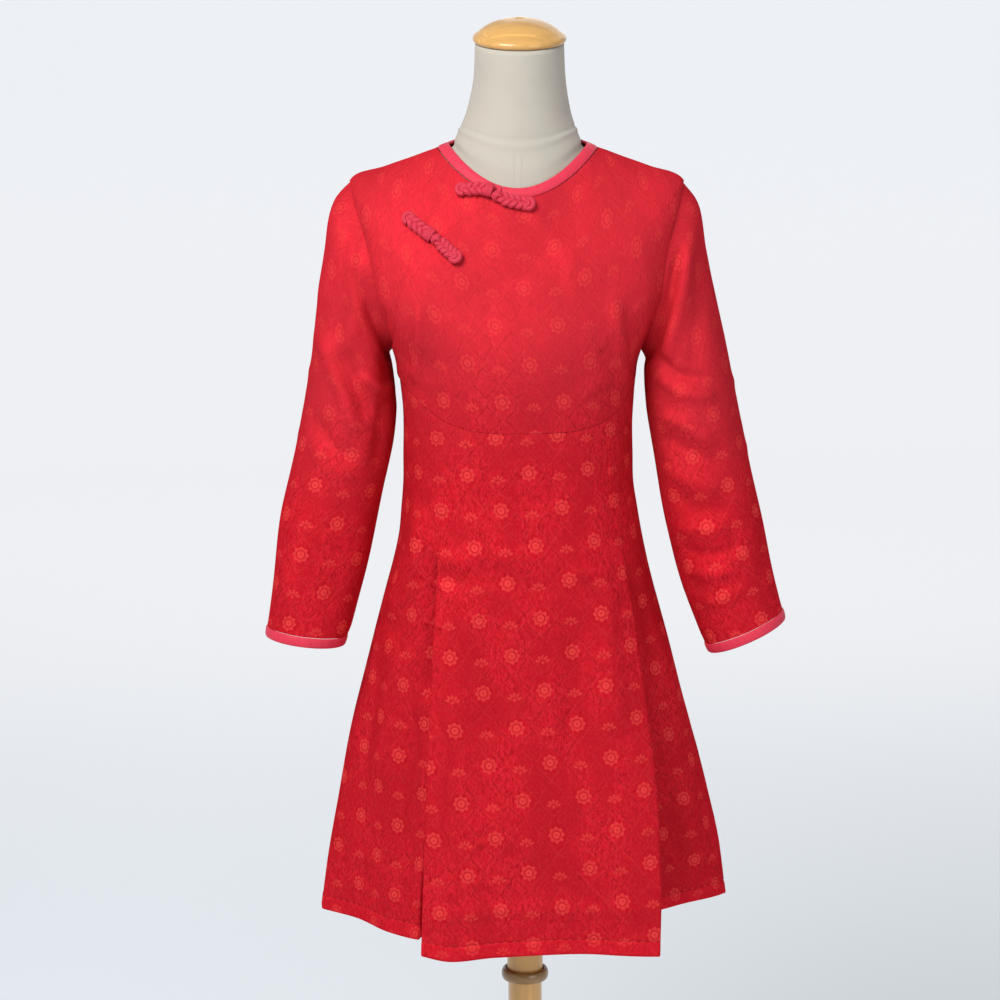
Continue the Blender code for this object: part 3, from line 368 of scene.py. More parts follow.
LAP_S = np.array([((u + 90.0) / 180.0, v) for u, v in LAP_EDGE[::-1]] + [(1.0, CLOTH_TOP)])
LAP_LINE = body(LAP_EDGE[:, 0], LAP_EDGE[:, 1])


def line_distance(points, line):
    """Distance from points to a broken line, in as many dimensions as both have."""
    near = np.full(points.shape[:-1], 1e9)
    for a, b in zip(line[:-1], line[1:]):
        ab = b - a
        f = np.clip(((points - a) @ ab) / (ab @ ab), 0.0, 1.0)
        near = np.minimum(near, np.linalg.norm(points - a - f[..., None] * ab, axis=-1))
    return near


def front_surface(u, v):
    """Bodice front, lifted where it laps over the shoulder piece."""
    p = body(u, v)
    fade = 1.0 - smooth((line_distance(p, LAP_LINE) - LAP_NEAR) / (LAP_FAR - LAP_NEAR))
    armpit = smooth((np.linalg.norm(p - LAP_LINE[-1], axis=-1) - 0.004) / 0.024)
    lift = LAP_LIFT * fade * armpit * (np.asarray(v) <= BUST_V + 0.02)
    return p + normal_of(body, u, v) * lift[..., None]


def centre_edge(v, side):
    return curve(CENTRE_EDGE, v, 1 if side < 0 else 2)


def release(v):
    return np.clip((v - RELEASE_V) / (HEM_V - RELEASE_V), 0.0, 1.1)


def side_surface(side):
    """Front side panel: on the rings above the pleat, falling back below it."""
    table = HEM_SIDE_R if side < 0 else HEM_SIDE_L

    def surface(u, v):
        u, v = np.broadcast_arrays(np.asarray(u, float), np.asarray(v, float))
        uu = np.clip(u, -90.0, 90.0)
        goal = np.stack([curve(table, uu, c) for c in (1, 2, 3)], -1)
        off = goal - body(uu, HEM_V)
        q = release(v) ** (0.85 if side < 0 else 1.4)
        return body(u, v) + off * q[..., None]
    return surface


def centre_surface(u, v):
    """Centre panel: proud of the side panels from the pleat tops down."""
    u, v = np.broadcast_arrays(np.asarray(u, float), np.asarray(v, float))
    lift = CENTRE_PROUD * smooth((v - RELEASE_V + 0.012) / 0.018)
    lift = lift + np.where(u < 0, 0.012, 0.026) * release(v) * smooth((np.abs(u) - 8.0) / 24.0)
    return body(u, v) + normal_of(body, u, v) * lift[..., None]


def under_edge(v, side):
    """Inner edge of a side panel: on the seam above the pleat, tucked in below it."""
    q = smooth((v - RELEASE_V - 0.006) / 0.16)
    return centre_edge(v, side) * (1 - q) + (-21.0 if side < 0 else 24.0) * q


def arc_from(surface, start, u, v, steps=24):
    """Length over the cloth from angle start to u along v."""
    f = np.linspace(0.0, 1.0, steps + 1)[:, None, None]
    p = surface(start + (u - start)[None] * f, v[None] + 0 * f)
    return np.linalg.norm(np.diff(p, axis=0), axis=-1).sum(0) * np.sign(u - start)


# ---------------------------------------------------------------- cloth building
def spread(length, pitch, first=True, last=True):
    """Fractions along a length, closer together at the sewn ends."""
    close = np.array([0.0, 0.0004, 0.0009, 0.0016, 0.0026, 0.0040])
    clear = 0.0052              # the even marks keep this far from a sewn end
    marks = [m for m in np.linspace(0.0, length, max(int(length / pitch), 4) + 1)
             if (m > clear or not first) and (m < length - clear or not last)]
    if first:
        marks += list(close)
    if last:
        marks += list(length - close)
    return np.array(sorted(set(round(m, 6) for m in marks))) / length


def rows_through(top, bottom, pitch):
    """Lengths v: even above the armhole, bunched at its two ends, even below."""
    steps = HOLE_STEPS // 2
    turn = np.cos(pi * np.arange(steps + 1) / steps)
    hole = SHOULDER_V + (ARMPIT_V - SHOULDER_V) * (1 - turn) / 2
    above = top + (SHOULDER_V - top) * spread(SHOULDER_V - top, pitch, True, False)
    rows = np.concatenate([above[:-1], hole])
    if bottom > ARMPIT_V + 1e-4:
        low = ARMPIT_V + (bottom - ARMPIT_V) * spread(bottom - ARMPIT_V, pitch, False, True)
        return np.concatenate([rows[:-1], low])
    return np.append(rows[rows < bottom - 1e-4], bottom)


def arcs(points, axis):
    """Running length along one direction of a grid of points."""
    step = np.linalg.norm(np.diff(points, axis=axis), axis=-1)
    zero = np.zeros_like(np.take(step, [0], axis=axis))
    return np.cumsum(np.concatenate([zero, step], axis=axis), axis=axis)


def grid_normals(points, closed=False):
    if closed:
        wrapped = np.concatenate([points[:, -2:-1], points, points[:, 1:2]], axis=1)
        across = (wrapped[:, 2:] - wrapped[:, :-2])
    else:
        across = np.gradient(points, axis=1)
    down = np.gradient(points, axis=0)
    return unit(np.cross(down, across))


def rumple(points, seed, depth, size):
    """Slow uneven waves that keep a hanging cloth from looking pressed flat."""
    wave = 0
    for k in range(5):
        a = seed * 1.7 + k * 2.39996
        length = size * (0.7 + 0.22 * k)
        way = np.array([cos(a), 0.4 * sin(2 * a), 0.55 * sin(a)]) * 2 * pi / length
        wave = wave + np.sin(points @ way + seed * (k + 1) * 1.3)
    return depth * wave / 3.0


def fold_height(points, normals, piece):
    """Height of all the folds that are placed on a piece."""
    total = np.zeros(points.shape[:-1])
    flat = points[..., (0, 2)]
    for facing in (-1, 1):
        shown = smooth((facing * normals[..., 1] + 0.15) / 0.4)
        for *line, width, height in FOLDS.get((piece, facing), ()):
            line = np.array(line).reshape(-1, 2)
            way = np.linalg.norm(line[-1] - line[0])
            along = ((flat - line[0]) @ ((line[-1] - line[0]) / way)) / way
            taper = smooth((along + 0.18) / 0.36) * smooth((1.18 - along) / 0.36)
            total += height * np.exp(-(line_distance(flat, line) / width) ** 2) * taper * shown
    return total


def placed(name, data):
    """New object of a mesh, lamp or camera, in the scene."""
    ob = bpy.data.objects.new(name, data)
    bpy.context.scene.collection.objects.link(ob)
    return ob


def mesh_object(name, bm, material):
    """Object in the scene with the faces of a bmesh, which is freed."""
    mesh = bpy.data.meshes.new(name)
    bm.to_mesh(mesh)
    bm.free()
    mesh.materials.append(material)
    return placed(name, mesh)


def shade_smooth(bm, edges=()):
    for item in (*bm.faces, *edges):
        item.smooth = True


def spun(profile, steps, merge=1e-6, loop=False):
    """Profile of radius and height spun round the upright axis, as a bmesh."""
    bm = bmesh.new()
    verts = [bm.verts.new((r, 0.0, z)) for r, z in profile]
    edges = [bm.edges.new(pair) for pair in zip(verts[:-1], verts[1:])]
    if loop:
        edges.append(bm.edges.new((verts[-1], verts[0])))
    bmesh.ops.spin(bm, geom=verts + edges, cent=(0, 0, 0), axis=(0, 0, 1), dvec=(0, 0, 0),
                   angle=2 * pi, steps=steps, use_merge=True, use_duplicate=False)
    bmesh.ops.remove_doubles(bm, verts=bm.verts, dist=merge)
    bmesh.ops.recalc_face_normals(bm, faces=bm.faces)
    shade_smooth(bm)
    return bm


def grid_object(name, points, uvs, material, closed=False, edge=None):
    """Grid of faces whose corners are moved to a table of points, top row first."""
    rows, cols = points.shape[:2]
    bm = bmesh.new()
    bmesh.ops.create_grid(bm, x_segments=cols - 1, y_segments=rows - 1, size=1.0)
    mesh = bpy.data.meshes.new(name)
    bm.to_mesh(mesh)
    bm.free()
    place = np.empty(len(mesh.vertices) * 3)
    mesh.vertices.foreach_get("co", place)
    place = place.reshape(-1, 3)
    col = np.rint((place[:, 0] + 1) / 2 * (cols - 1)).astype(int)
    row = np.rint((1 - place[:, 1]) / 2 * (rows - 1)).astype(int)
    mesh.vertices.foreach_set("co", np.ascontiguousarray(points[row, col]).ravel())
    corner = np.empty(len(mesh.loops), dtype=np.int32)
    mesh.loops.foreach_get("vertex_index", corner)
    for layer_name, table in (("Cloth", uvs), ("Edge", edge)):
        if table is not None:
            layer = mesh.uv_layers.new(name=layer_name)
            layer.data.foreach_set("uv", np.ascontiguousarray(table[row, col][corner]).ravel())
    mesh.materials.append(material)
    bm = bmesh.new()
    bm.from_mesh(mesh)
    if closed:
        bmesh.ops.remove_doubles(bm, verts=bm.verts, dist=1e-6)
    for e in bm.edges:
        if e.is_boundary:
            e.smooth = False
    shade_smooth(bm)
    bm.to_mesh(mesh)
    bm.free()
    return placed(name, mesh)


def join_grids(name, grids, material):
    """Several tubes or rings of points as one object, with the ends of the tubes closed."""
    bm = bmesh.new()
    for points, uvs in grids:
        part = grid_object("strand", points, uvs, material, closed=True)
        bm.from_mesh(part.data)
        mesh = part.data
        bpy.data.objects.remove(part)
        bpy.data.meshes.remove(mesh)
    bmesh.ops.holes_fill(bm, edges=[e for e in bm.edges if e.is_boundary], sides=0)
    shade_smooth(bm, bm.edges)
    bmesh.ops.recalc_face_normals(bm, faces=bm.faces)
    return mesh_object(name, bm, material)


def declare(ob, node):
    """Ride and stand-in of one piece: on the root body, in place of its hidden solid."""
    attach(ob, "root")
    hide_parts(node)


def cloth_piece(name, points, uvs, closed=False, sewn="tblr", hem=False, seed=1.0,
                rumple_depth=0.0006, rumple_size=0.09, pucker=0.00045, seam_roll=0.0007,
                on="form_torso", more=()):
    """Sheet of cloth on a grid of points: folds, sewn-in edges, hem, and its thickness.

    sewn lists the edges that turn in at a seam: t, b, l and r.  on and more are not used.
    """
    s = bpy.context.scene.dress_settings
    normals = grid_normals(points, closed)
    down, across = arcs(points, 0), arcs(points, 1)
    to = {"t": down, "b": down[-1:] - down, "l": across, "r": across[:, -1:] - across}
    width, length = float(across[:, -1].max()), float(down[-1].max())
    fold = s.fold_depth * fold_height(points, normals, name)
    if name.startswith(("bodice", "back")):
        deepest = np.where(points[..., 2] > CHEST_Z, *DEEPEST)
        fold = np.where(fold < 0, deepest * np.tanh(fold / deepest), fold)
    height = rumple(points, seed, rumple_depth, rumple_size) + fold
    held = np.ones(points.shape[:-1])
    for side, along in (("t", across), ("b", across), ("l", down), ("r", down)):
        if side in sewn:
            d = to[side]
            held = np.minimum(held, smooth(d / 0.012))
            wave = np.sin(along / 0.0105 + 1.6 * np.sin(along / 0.031 + seed)) * np.sin(
                along / 0.0231 + seed * 2)
            height = height + pucker * wave * np.exp(-d / 0.007) * smooth(d / 0.0015)
            height = height - seam_roll * np.exp(-(d / 0.0016) ** 1.5)
    height = height * (0.35 + 0.65 * held)
    if hem:
        d, along = to["b"], across
        wave = np.sin(along / 0.0095 + seed) + 0.7 * np.sin(along / 0.0170 + 2 * seed)
        height = height - 0.0006 * np.exp(-((d - STITCH_UP) / 0.0013) ** 2)
        height = height + 0.00022 * wave * np.exp(-((d - 0.011) / 0.009) ** 2)
        height = height + 0.0004 * smooth((STITCH_UP - d) / 0.003) * smooth(d / 0.003)
        height = height - 0.0007 * np.exp(-(d / 0.0012) ** 2)
    reach = to["b"] if hem else np.full(points.shape[:-1], 1.0)
    edge = np.stack([across, reach], -1)
    ob = grid_object(name, points + normals * height[..., None], uvs,
                     finishes()["jacquard_red_cloth"], closed, edge)
    thick = ob.modifiers.new("Thickness", "SOLIDIFY")
    thick.thickness = CLOTH
    thick.offset = -1.0
    declare(ob, name.removesuffix("_cloth"))
    # rounded up to the millimetre
    width, length = round(width + 0.0005, 3), round(length + 0.0005, 3)
    return ob


def turned(across, down, degrees, shift):
    """Cloth coordinates turned to the grain and moved to where its motifs fall."""
    a = radians(degrees)
    return np.stack([across * cos(a) - down * sin(a) + shift[0],
                     across * sin(a) + down * cos(a) + shift[1]], -1)


# ---------------------------------------------------------------- material nodes
class Wire:
    """A socket that adds its maths nodes when it stands in an expression."""

    def __init__(self, finish, socket):
        self.finish, self.socket = finish, socket

    def maths(self, operation, *others):
        return self.finish.node("ShaderNodeMath", {"operation": operation}, (self, *others))

    def __add__(self, other):
        return self.maths("ADD", other)

    def __sub__(self, other):
        return self.maths("SUBTRACT", other)

    def __rsub__(self, other):
        return self.finish.node("ShaderNodeMath", {"operation": "SUBTRACT"}, (other, self))

    def __mul__(self, other):
        return self.maths("MULTIPLY", other)

    def __truediv__(self, other):
        return self.maths("DIVIDE", other)

    def __abs__(self):
        return self.maths("ABSOLUTE")

    __radd__, __rmul__ = __add__, __mul__

    def step(self, low, high):
        """0 below low and 1 above high, soft between; low may be the larger."""
        if low > high:
            return 1.0 - self.step(high, low)
        return self.finish.node("ShaderNodeMapRange", {"interpolation_type": "SMOOTHSTEP"},
                                {"Value": self, "From Min": low, "From Max": high}, "Result")

    def hump(self, middle, width):
        """1 at middle, 0 beyond width on either side."""
        return abs(self - middle).step(width, 0.0)


class Finish:
    """One material, whose constants stand on its own shader."""

    def __init__(self, name, **constants):
        self.material = bpy.data.materials.new(name)
        self.material.use_nodes = True
        self.tree = self.material.node_tree
        self.shader = self.tree.nodes["Principled BSDF"]
        for key, value in constants.items():
            self.shader.inputs[key.replace("_", " ")].default_value = value

    def node(self, kind, settings=None, sockets=(), out=0):
        node = self.tree.nodes.new(kind)
        for key, value in (settings or {}).items():
            setattr(node, key, value)
        pairs = sockets.items() if isinstance(sockets, dict) else enumerate(sockets)
        for key, value in pairs:
            if isinstance(value, Wire):
                self.tree.links.new(value.socket, node.inputs[key])
            else:
                node.inputs[key].default_value = value
        return Wire(self, node.outputs[out])

    def mix(self, factor, a, b):
        return self.node("ShaderNodeMix", {"data_type": "RGBA"}, {0: factor, 6: a, 7: b}, 2)

    def split(self, vector):
        node = self.tree.nodes.new("ShaderNodeSeparateXYZ")
        self.tree.links.new(vector.socket, node.inputs[0])
        return [Wire(self, node.outputs[k]) for k in range(3)]

    def combine(self, x, y, z=0.0):
        return self.node("ShaderNodeCombineXYZ", {}, (x, y, z))

    def uv(self, name):
        return self.node("ShaderNodeUVMap", {"uv_map": name})

    def noise(self, vector, scale, detail=2.0, roughness=0.5, distortion=0.0):
        return self.node("ShaderNodeTexNoise", {}, {"Vector": vector, "Scale": scale,
                         "Detail": detail, "Roughness": roughness, "Distortion": distortion})

    def done(self, colour, roughness=None, height=None):
        """Links what varies over the surface: colour, roughness, and height in metres."""
        links = {"Base Color": colour, "Roughness": roughness}
        if height is not None:
            links["Normal"] = self.node("ShaderNodeBump", {}, {
                "Strength": 1.0, "Distance": 1.0, "Height": height})
        for key, value in links.items():
            if isinstance(value, Wire):
                self.tree.links.new(value.socket, self.shader.inputs[key])
        return self.material


def shade(rgb, times):
    return (rgb[0] * times, rgb[1] * times, rgb[2] * times, 1.0)


def jacquard(s):
    """Satin-ground jacquard: rosettes and palmettes on a faint ogee lattice, crinkled."""
    f = Finish("jacquard_red_cloth", Metallic=0.17, Specular_IOR_Level=0.0,
               Specular_Tint=(1.0, 0.30, 0.34, 1.0))
    red, pale = s.cloth_colour, shade(s.motif_colour, 1.0)
    half, pitch = s.motif_spacing / 2, s.row_spacing
    cloth = f.uv("Cloth")
    u, v, _ = f.split(cloth)
    col = (u / half + 0.5).maths("FLOOR")
    row = (v / pitch + 0.5).maths("FLOOR")
    x, y = u - col * half, v - row * pitch
    odd = (col + row).maths("PINGPONG", 1.0)
    big = 1.0 - odd
    # rosette: blunt petals, dark ring, bright eye with a darker heart
    rosette_r, ring_r, eye_r, heart_r = 0.0090, 0.0047, 0.0040, 0.0017
    r = (x * x + y * y).maths("SQRT")
    lobes = (y.maths("ARCTAN2", x) * 8.0).maths("COSINE")
    gap = r.hump(ring_r, 0.0013) * big
    heart = (r - (lobes * 0.0003)).step(heart_r, 0.0006) * 0.6
    notches = lobes.step(-0.4, -1.0) * r.step(0.0056, 0.0070)
    petals = (r - lobes * 0.0008).step(rosette_r, 0.0077) * (1.0 - notches * 0.5)
    eye = r.step(eye_r, 0.0032)
    flower = petals * (1.0 - gap * 0.9) * (1.0 - heart) * (0.80 + eye * 0.25) * big
    # palmette: five leaves opening upwards over a small seed
    seed_down, crown_r, stem_r = 0.0088, 0.0080, 0.0028
    ys = y - seed_down
    rs = (x * x + ys * ys).maths("SQRT")
    fan = x.maths("ARCTAN2", 0.0 - ys)
    leaves = (fan * 10.0).maths("COSINE")
    crown = (rs - leaves * 0.0011).step(crown_r, 0.0068) * rs.step(stem_r, 0.0040)
    crown = crown * abs(fan).step(1.75, 1.50) * (1.0 - leaves.step(-0.2, -0.9) * 0.6)
    palm = (crown * 0.75 + rs.step(0.0024, 0.0015) * 0.6) * odd
    weave = f.noise(f.combine(u * 620.0, v * 620.0), 1.0, 2.0, 0.7)
    motif = (flower + palm) * weave.step(0.22, 0.52)
    # damask ground: ogee lattice and drifting scrollwork
    wander = f.noise(cloth, 95.0, 2.0) - 0.5
    diamond = abs(x) / half + abs(y) / pitch + wander * 0.30
    lattice = diamond.hump(0.52, 0.085) + diamond.hump(0.67, 0.060) * 0.6
    scroll = f.noise(cloth, 150.0, 3.0, 0.60, 1.8)
    scrolls = (scroll.hump(0.47, 0.045) + scroll.hump(0.58, 0.035)) * 0.7
    clear = 1.0 - r.step(0.012, 0.009) * big
    ground = (lattice * 0.5 * scroll.step(0.38, 0.56) + scrolls) * clear
    # crinkled satin: short wrinkles down the cloth, calmer over the chest, with painted highlight
    # on their ridges and painted shade in their hollows
    patch = f.noise(f.combine(u * 15.0, v * 8.0), 1.0, 3.0, 0.6, 0.5)
    crinkling_and_painted_light = (v.step(0.12, 0.24) * 0.65 + 0.35) * (patch.step(0.40, 0.58) * 0.75 + 0.25)
    crinkle = f.noise(f.combine(u * 400.0, v * 150.0), 1.0, 3.0, 0.62, 1.1)
    fine = f.noise(f.combine(u * 900.0, v * 420.0), 1.0, 2.0, 0.6, 0.5)
    cloud = f.noise(cloth, 62.0, 2.0, 0.6, 0.6)
    tone = f.mix(patch.step(0.35, 0.65), shade(red, 0.86), shade(red, 1.14))
    # painted shade in the hollows of the larger waves, which the bump also sinks
    tone = f.mix(cloud.step(0.52, 0.34) * crinkling_and_painted_light * 0.34, tone, shade(red, 0.70))
    # painted highlight on the crinkle ridges, then painted shade in their hollows
    tone = f.mix(crinkle.step(0.50, 0.64) * crinkling_and_painted_light * 0.50, tone, (0.70, 0.030, 0.048, 1.0))
    tone = f.mix(crinkle.step(0.50, 0.36) * crinkling_and_painted_light * 0.62, tone, shade(red, 0.52))
    # painted sheen: a paler, pinker ground over the bodice, where the satin's sheen falls
    tone = f.mix(v.step(0.34, 0.16) * 0.21, tone, (0.66, 0.062, 0.086, 1.0))
    shadow = diamond.hump(0.595, 0.055) * scroll.step(0.34, 0.50) * (crinkling_and_painted_light * 0.8 + 0.2)
    tone = f.mix(shadow * 0.48, tone, shade(red, 0.55))
    tone = f.mix(ground * 0.24, tone, pale)
    tone = f.mix(gap * 0.20, tone, shade(red, 0.70))
    tone = f.mix(motif * (v.step(0.16, 0.30) * 0.34 + 0.42), tone, pale)
    # hem stitching and seam allowance, from the distance to the lower edge, with painted shade
    # along the stitching and a painted highlight on the raised hem
    along, off, _ = f.split(f.uv("Edge"))
    line = off.hump(STITCH_UP, 0.0009)
    dash = (along / 0.0016).maths("SINE").step(-0.2, 0.5)
    # painted shade in the groove of the stitching, which the bump also sinks
    tone = f.mix(line * 0.50, tone, shade(red, 0.45))
    tone = f.mix(line * dash * 0.55, tone, pale)
    # painted highlight on the raised band between the stitching and the edge
    tone = f.mix(off.step(STITCH_UP, STITCH_UP - 0.002) * 0.22, tone, shade(red, 1.5))
    rough = 0.45 + motif * 0.12 + crinkle * 0.14 + ground * 0.04
    height = (motif * 0.00020 + ground * 0.00011 + crinkle * crinkling_and_painted_light * (0.00085 * s.crinkle)
              + cloud * crinkling_and_painted_light * (0.00110 * s.crinkle) + fine * (0.00008 * s.crinkle)
              - line * 0.00022 - shadow * 0.00012)
    return f.done(tone, rough, height)


def satin_binding(s):
    """Plain rose satin cut on the bias: fine slanting threads, and small puckers with a painted
    highlight on their tops.
    """
    f = Finish("binding_rose_satin", Specular_IOR_Level=0.30, Sheen_Weight=0.05,
               Sheen_Roughness=0.5, Sheen_Tint=(1.0, 0.35, 0.45, 1.0),
               Specular_Tint=(1.0, 0.7, 0.75, 1.0))
    rose = s.binding_colour
    u, v, _ = f.split(f.uv("Cloth"))
    slant = f.combine((u + v) * 900.0, (u - v) * 260.0)
    thread = f.noise(slant, 1.0, 2.0, 0.6)
    pucker = f.noise(f.combine(u * 160.0, v * 60.0), 1.0, 2.0)
    tone = f.mix(thread, shade(rose, 0.86), shade(rose, 1.12))
    # painted highlight on the tops of the puckers, which the bump also raises
    tone = f.mix(pucker.step(0.35, 0.65) * 0.3, tone, shade(rose, 1.2))
    rough = 0.46 + thread * 0.14
    height = thread * 0.00007 + pucker * 0.00030
    return f.done(tone, rough, height)


def cord_cloth(s):
    """Twisted satin cord of the frogs, with painted shade between its plies."""
    f = Finish("frog_cord_rose", Specular_IOR_Level=0.25, Sheen_Weight=0.06,
               Sheen_Roughness=0.5, Sheen_Tint=(1.0, 0.35, 0.45, 1.0))
    rose = s.binding_colour
    u, v, _ = f.split(f.uv("Cloth"))
    ply = (u * 2200.0 + v * 2600.0).maths("SINE")
    fuzz = f.noise(f.combine(u * 1500.0, v * 500.0), 1.0, 2.0, 0.6)
    # painted shade in the grooves between the plies, which the bump also sinks
    tone = f.mix(ply.step(-1.0, 0.6), shade(rose, 0.62), shade(rose, 1.0))
    tone = f.mix(fuzz * 0.4, tone, shade(rose, 1.18))
    return f.done(tone, 0.52 + fuzz * 0.18, ply * 0.00010 + fuzz * 0.00006)


def form_cloth(s):
    """Off-white stretch cover of the form: fine knit, slightly soiled, pressed seams, with painted
    shade beside the centre-front seam and a painted highlight on it.
    """
    f = Finish("form_cover_cream", Specular_IOR_Level=0.25, Sheen_Weight=0.15,
               Sheen_Roughness=0.6)
    cream = s.form_colour
    place = f.node("ShaderNodeTexCoord", {}, (), "Object")
    x, y, z = f.split(place)
    knit = f.noise(f.combine(x * 1500.0, y * 1500.0, z * 700.0), 1.0, 2.0, 0.6)
    soil = f.noise(place, 22.0, 3.0, 0.6)
    tone = f.mix(knit, shade(cream, 0.93), shade(cream, 1.04))
    tone = f.mix(soil.step(0.40, 0.75) * 0.35, tone, shade(cream, 0.86))
    off = abs(x - FORM_SEAM_X)
    front = y.step(0.0, -0.02) * z.step(1.352, 1.346)
    line = off.step(0.0016, 0.0) * front
    edge = off.hump(0.0042, 0.0008) * front
    # painted shade in the grooves beside the centre-front seam, which the bump also sinks, then a
    # painted highlight on the seam
    tone = f.mix(edge * 0.30, tone, shade(cream, 0.80))
    tone = f.mix(line * 0.2, tone, shade(cream, 1.1))
    return f.done(tone, 0.78 + knit * 0.1, knit * 0.00010 - edge * 0.0002)


def honey_wood(s, name, upright, dark=1.0):
    """Lacquered honey-coloured wood: long grain along the turning, fine pores."""
    f = Finish(name, Specular_IOR_Level=0.5, Coat_Weight=0.45, Coat_Roughness=0.12)
    place = f.node("ShaderNodeTexCoord", {}, (), "Object")
    x, y, z = f.split(place)
    grain_by, pore_by = (((60.0, 60.0, 3.0), (900.0, 900.0, 30.0)) if upright
                         else ((6.0, 60.0, 60.0), (40.0, 900.0, 900.0)))
    grain = f.noise(f.combine(x * grain_by[0], y * grain_by[1], z * grain_by[2]), 1.0, 4.0, 0.6,
                    1.2)
    pore = f.noise(f.combine(x * pore_by[0], y * pore_by[1], z * pore_by[2]), 1.0, 2.0, 0.6)
    rings = (grain * 26.0).maths("SINE")
    c = s.wood_colour
    tone = f.mix(grain.step(0.3, 0.7), shade(c, 0.80 * dark), shade(c, 1.12 * dark))
    tone = f.mix(rings.step(0.2, 1.0) * 0.30, tone, shade(c, 0.66 * dark))
    tone = f.mix(pore.step(0.62, 0.75) * 0.35, tone, shade(c, 0.50 * dark))
    return f.done(tone, 0.24 + pore * 0.12, pore * 0.00005 + rings * 0.00003)


def finishes():
    """Materials of this object, made once."""
    s = bpy.context.scene.dress_settings
    made = bpy.data.materials
    if "jacquard_red_cloth" not in made:
        jacquard(s)
        satin_binding(s)
        cord_cloth(s)
        form_cloth(s)
        honey_wood(s, "cap_honey_wood", False)
        honey_wood(s, "pole_honey_wood", True)
        honey_wood(s, "ring_dark_wood", False, 0.42)
    return made


# ---------------------------------------------------------------- settings
def colour_setting(name, description, default):
    return bpy.props.FloatVectorProperty(name=name, description=description, subtype="COLOR",
                                         size=3, min=0.0, max=1.0, default=default)


def length_setting(name, description, default, low, high):
    return bpy.props.FloatProperty(name=name, description=description, unit="LENGTH",
                                   default=default, min=low, max=high)


class DressSettings(bpy.types.PropertyGroup):
    """Sizes and colours that a user would change."""
    cloth_colour: colour_setting("Cloth colour", "Ground of the jacquard", (0.560, 0.009, 0.021))
    motif_colour: colour_setting("Motif colour", "Rosettes and palmettes", (0.800, 0.062, 0.056))
    binding_colour: colour_setting(
        "Binding colour", "Neck and cuff bindings and frogs", (0.650, 0.034, 0.070))
    form_colour: colour_setting("Form colour", "Cover of the dress form", (0.488, 0.455, 0.390))
    wood_colour: colour_setting("Wood colour", "Cap, pole and base", (0.700, 0.385, 0.110))
    motif_spacing: length_setting(
        "Motif spacing", "Between two rosettes of a row", 0.0670, 0.02, 0.3)
    row_spacing: length_setting("Row spacing", "Between two rows of motifs", 0.0394, 0.01, 0.3)
    pitch: length_setting("Mesh pitch", "Size of the faces of the cloth", 0.0036, 0.002, 0.02)
    fold_depth: bpy.props.FloatProperty(
        name="Fold depth", description="Scales the height of every fold", default=1.35,
        min=0.0, max=2.0)
    crinkle: bpy.props.FloatProperty(
        name="Crinkle", description="Strength of the crinkled satin", default=1.0,
        min=0.0, max=3.0)


# where the first motifs fall, above and below the under-bust seam
SHIFT_TOP = (0.026, 0.006)
SHIFT_SKIRT = (0.0124, 0.0078)


def panel_piece(name, surface, u_left, u_right, v_top, v_bottom, s_list, t_list, arc_start,
                grain, shift, halves=False, **cloth):
    """Cloth between two side lines and two end lines of a surface(u, v)."""
    s, t = np.meshgrid(s_list, t_list)
    v = v_top(s) + t * (v_bottom(s) - v_top(s))
    if halves:
        u = np.where(s < 0.5, u_left(v) * (1 - 2 * s), u_right(v) * (2 * s - 1))
    else:
        u = u_left(v) + s * (u_right(v) - u_left(v))
    points = surface(u, v)
    across = arc_from(surface, np.full_like(u, arc_start), u, v)
    return cloth_piece(name, points, turned(across, v, grain, shift), **cloth)


def const(value):
    return lambda s: value + 0.0 * s


# ---------------------------------------------------------------- operators
class DRESS_OT_form(bpy.types.Operator):
    """Limbless torso with its fitted cover"""
    bl_idname = "dress.form"
    bl_label = "Dress Form"

    def execute(self, context):
        rows, around = 150, 112
        keyed = np.column_stack([np.arange(len(FORM), dtype=float), FORM])
        key = np.linspace(0, len(FORM) - 1, rows)[:, None]
        u = np.linspace(0, 360, around + 1)[None, :]
        cols = [curve(keyed, key, c) for c in range(1, 11)]
        z_pow = np.interp(key, [2.0, 3.0], [1.0, 2.0])      # rounder fall below the neck
        points = ring(u, *cols, z_pow)
        across, down = arcs(points, 1), arcs(points, 0)
        normals = grid_normals(points, True)
        # raised neck seam and pressed centre-front seam
        neck = np.exp(-((key - 3.1) / 0.14) ** 2) + 0 * u
        groove = np.exp(-((key - 2.86) / 0.07) ** 2) + 0 * u
        points = points + normals * (0.0011 * neck - 0.0012 * groove)[..., None]
        ob = join_grids("form_torso", [(points, np.stack([across, down], -1))],
                        finishes()["form_cover_cream"])
        declare(ob, "form_body")
        return {"FINISHED"}


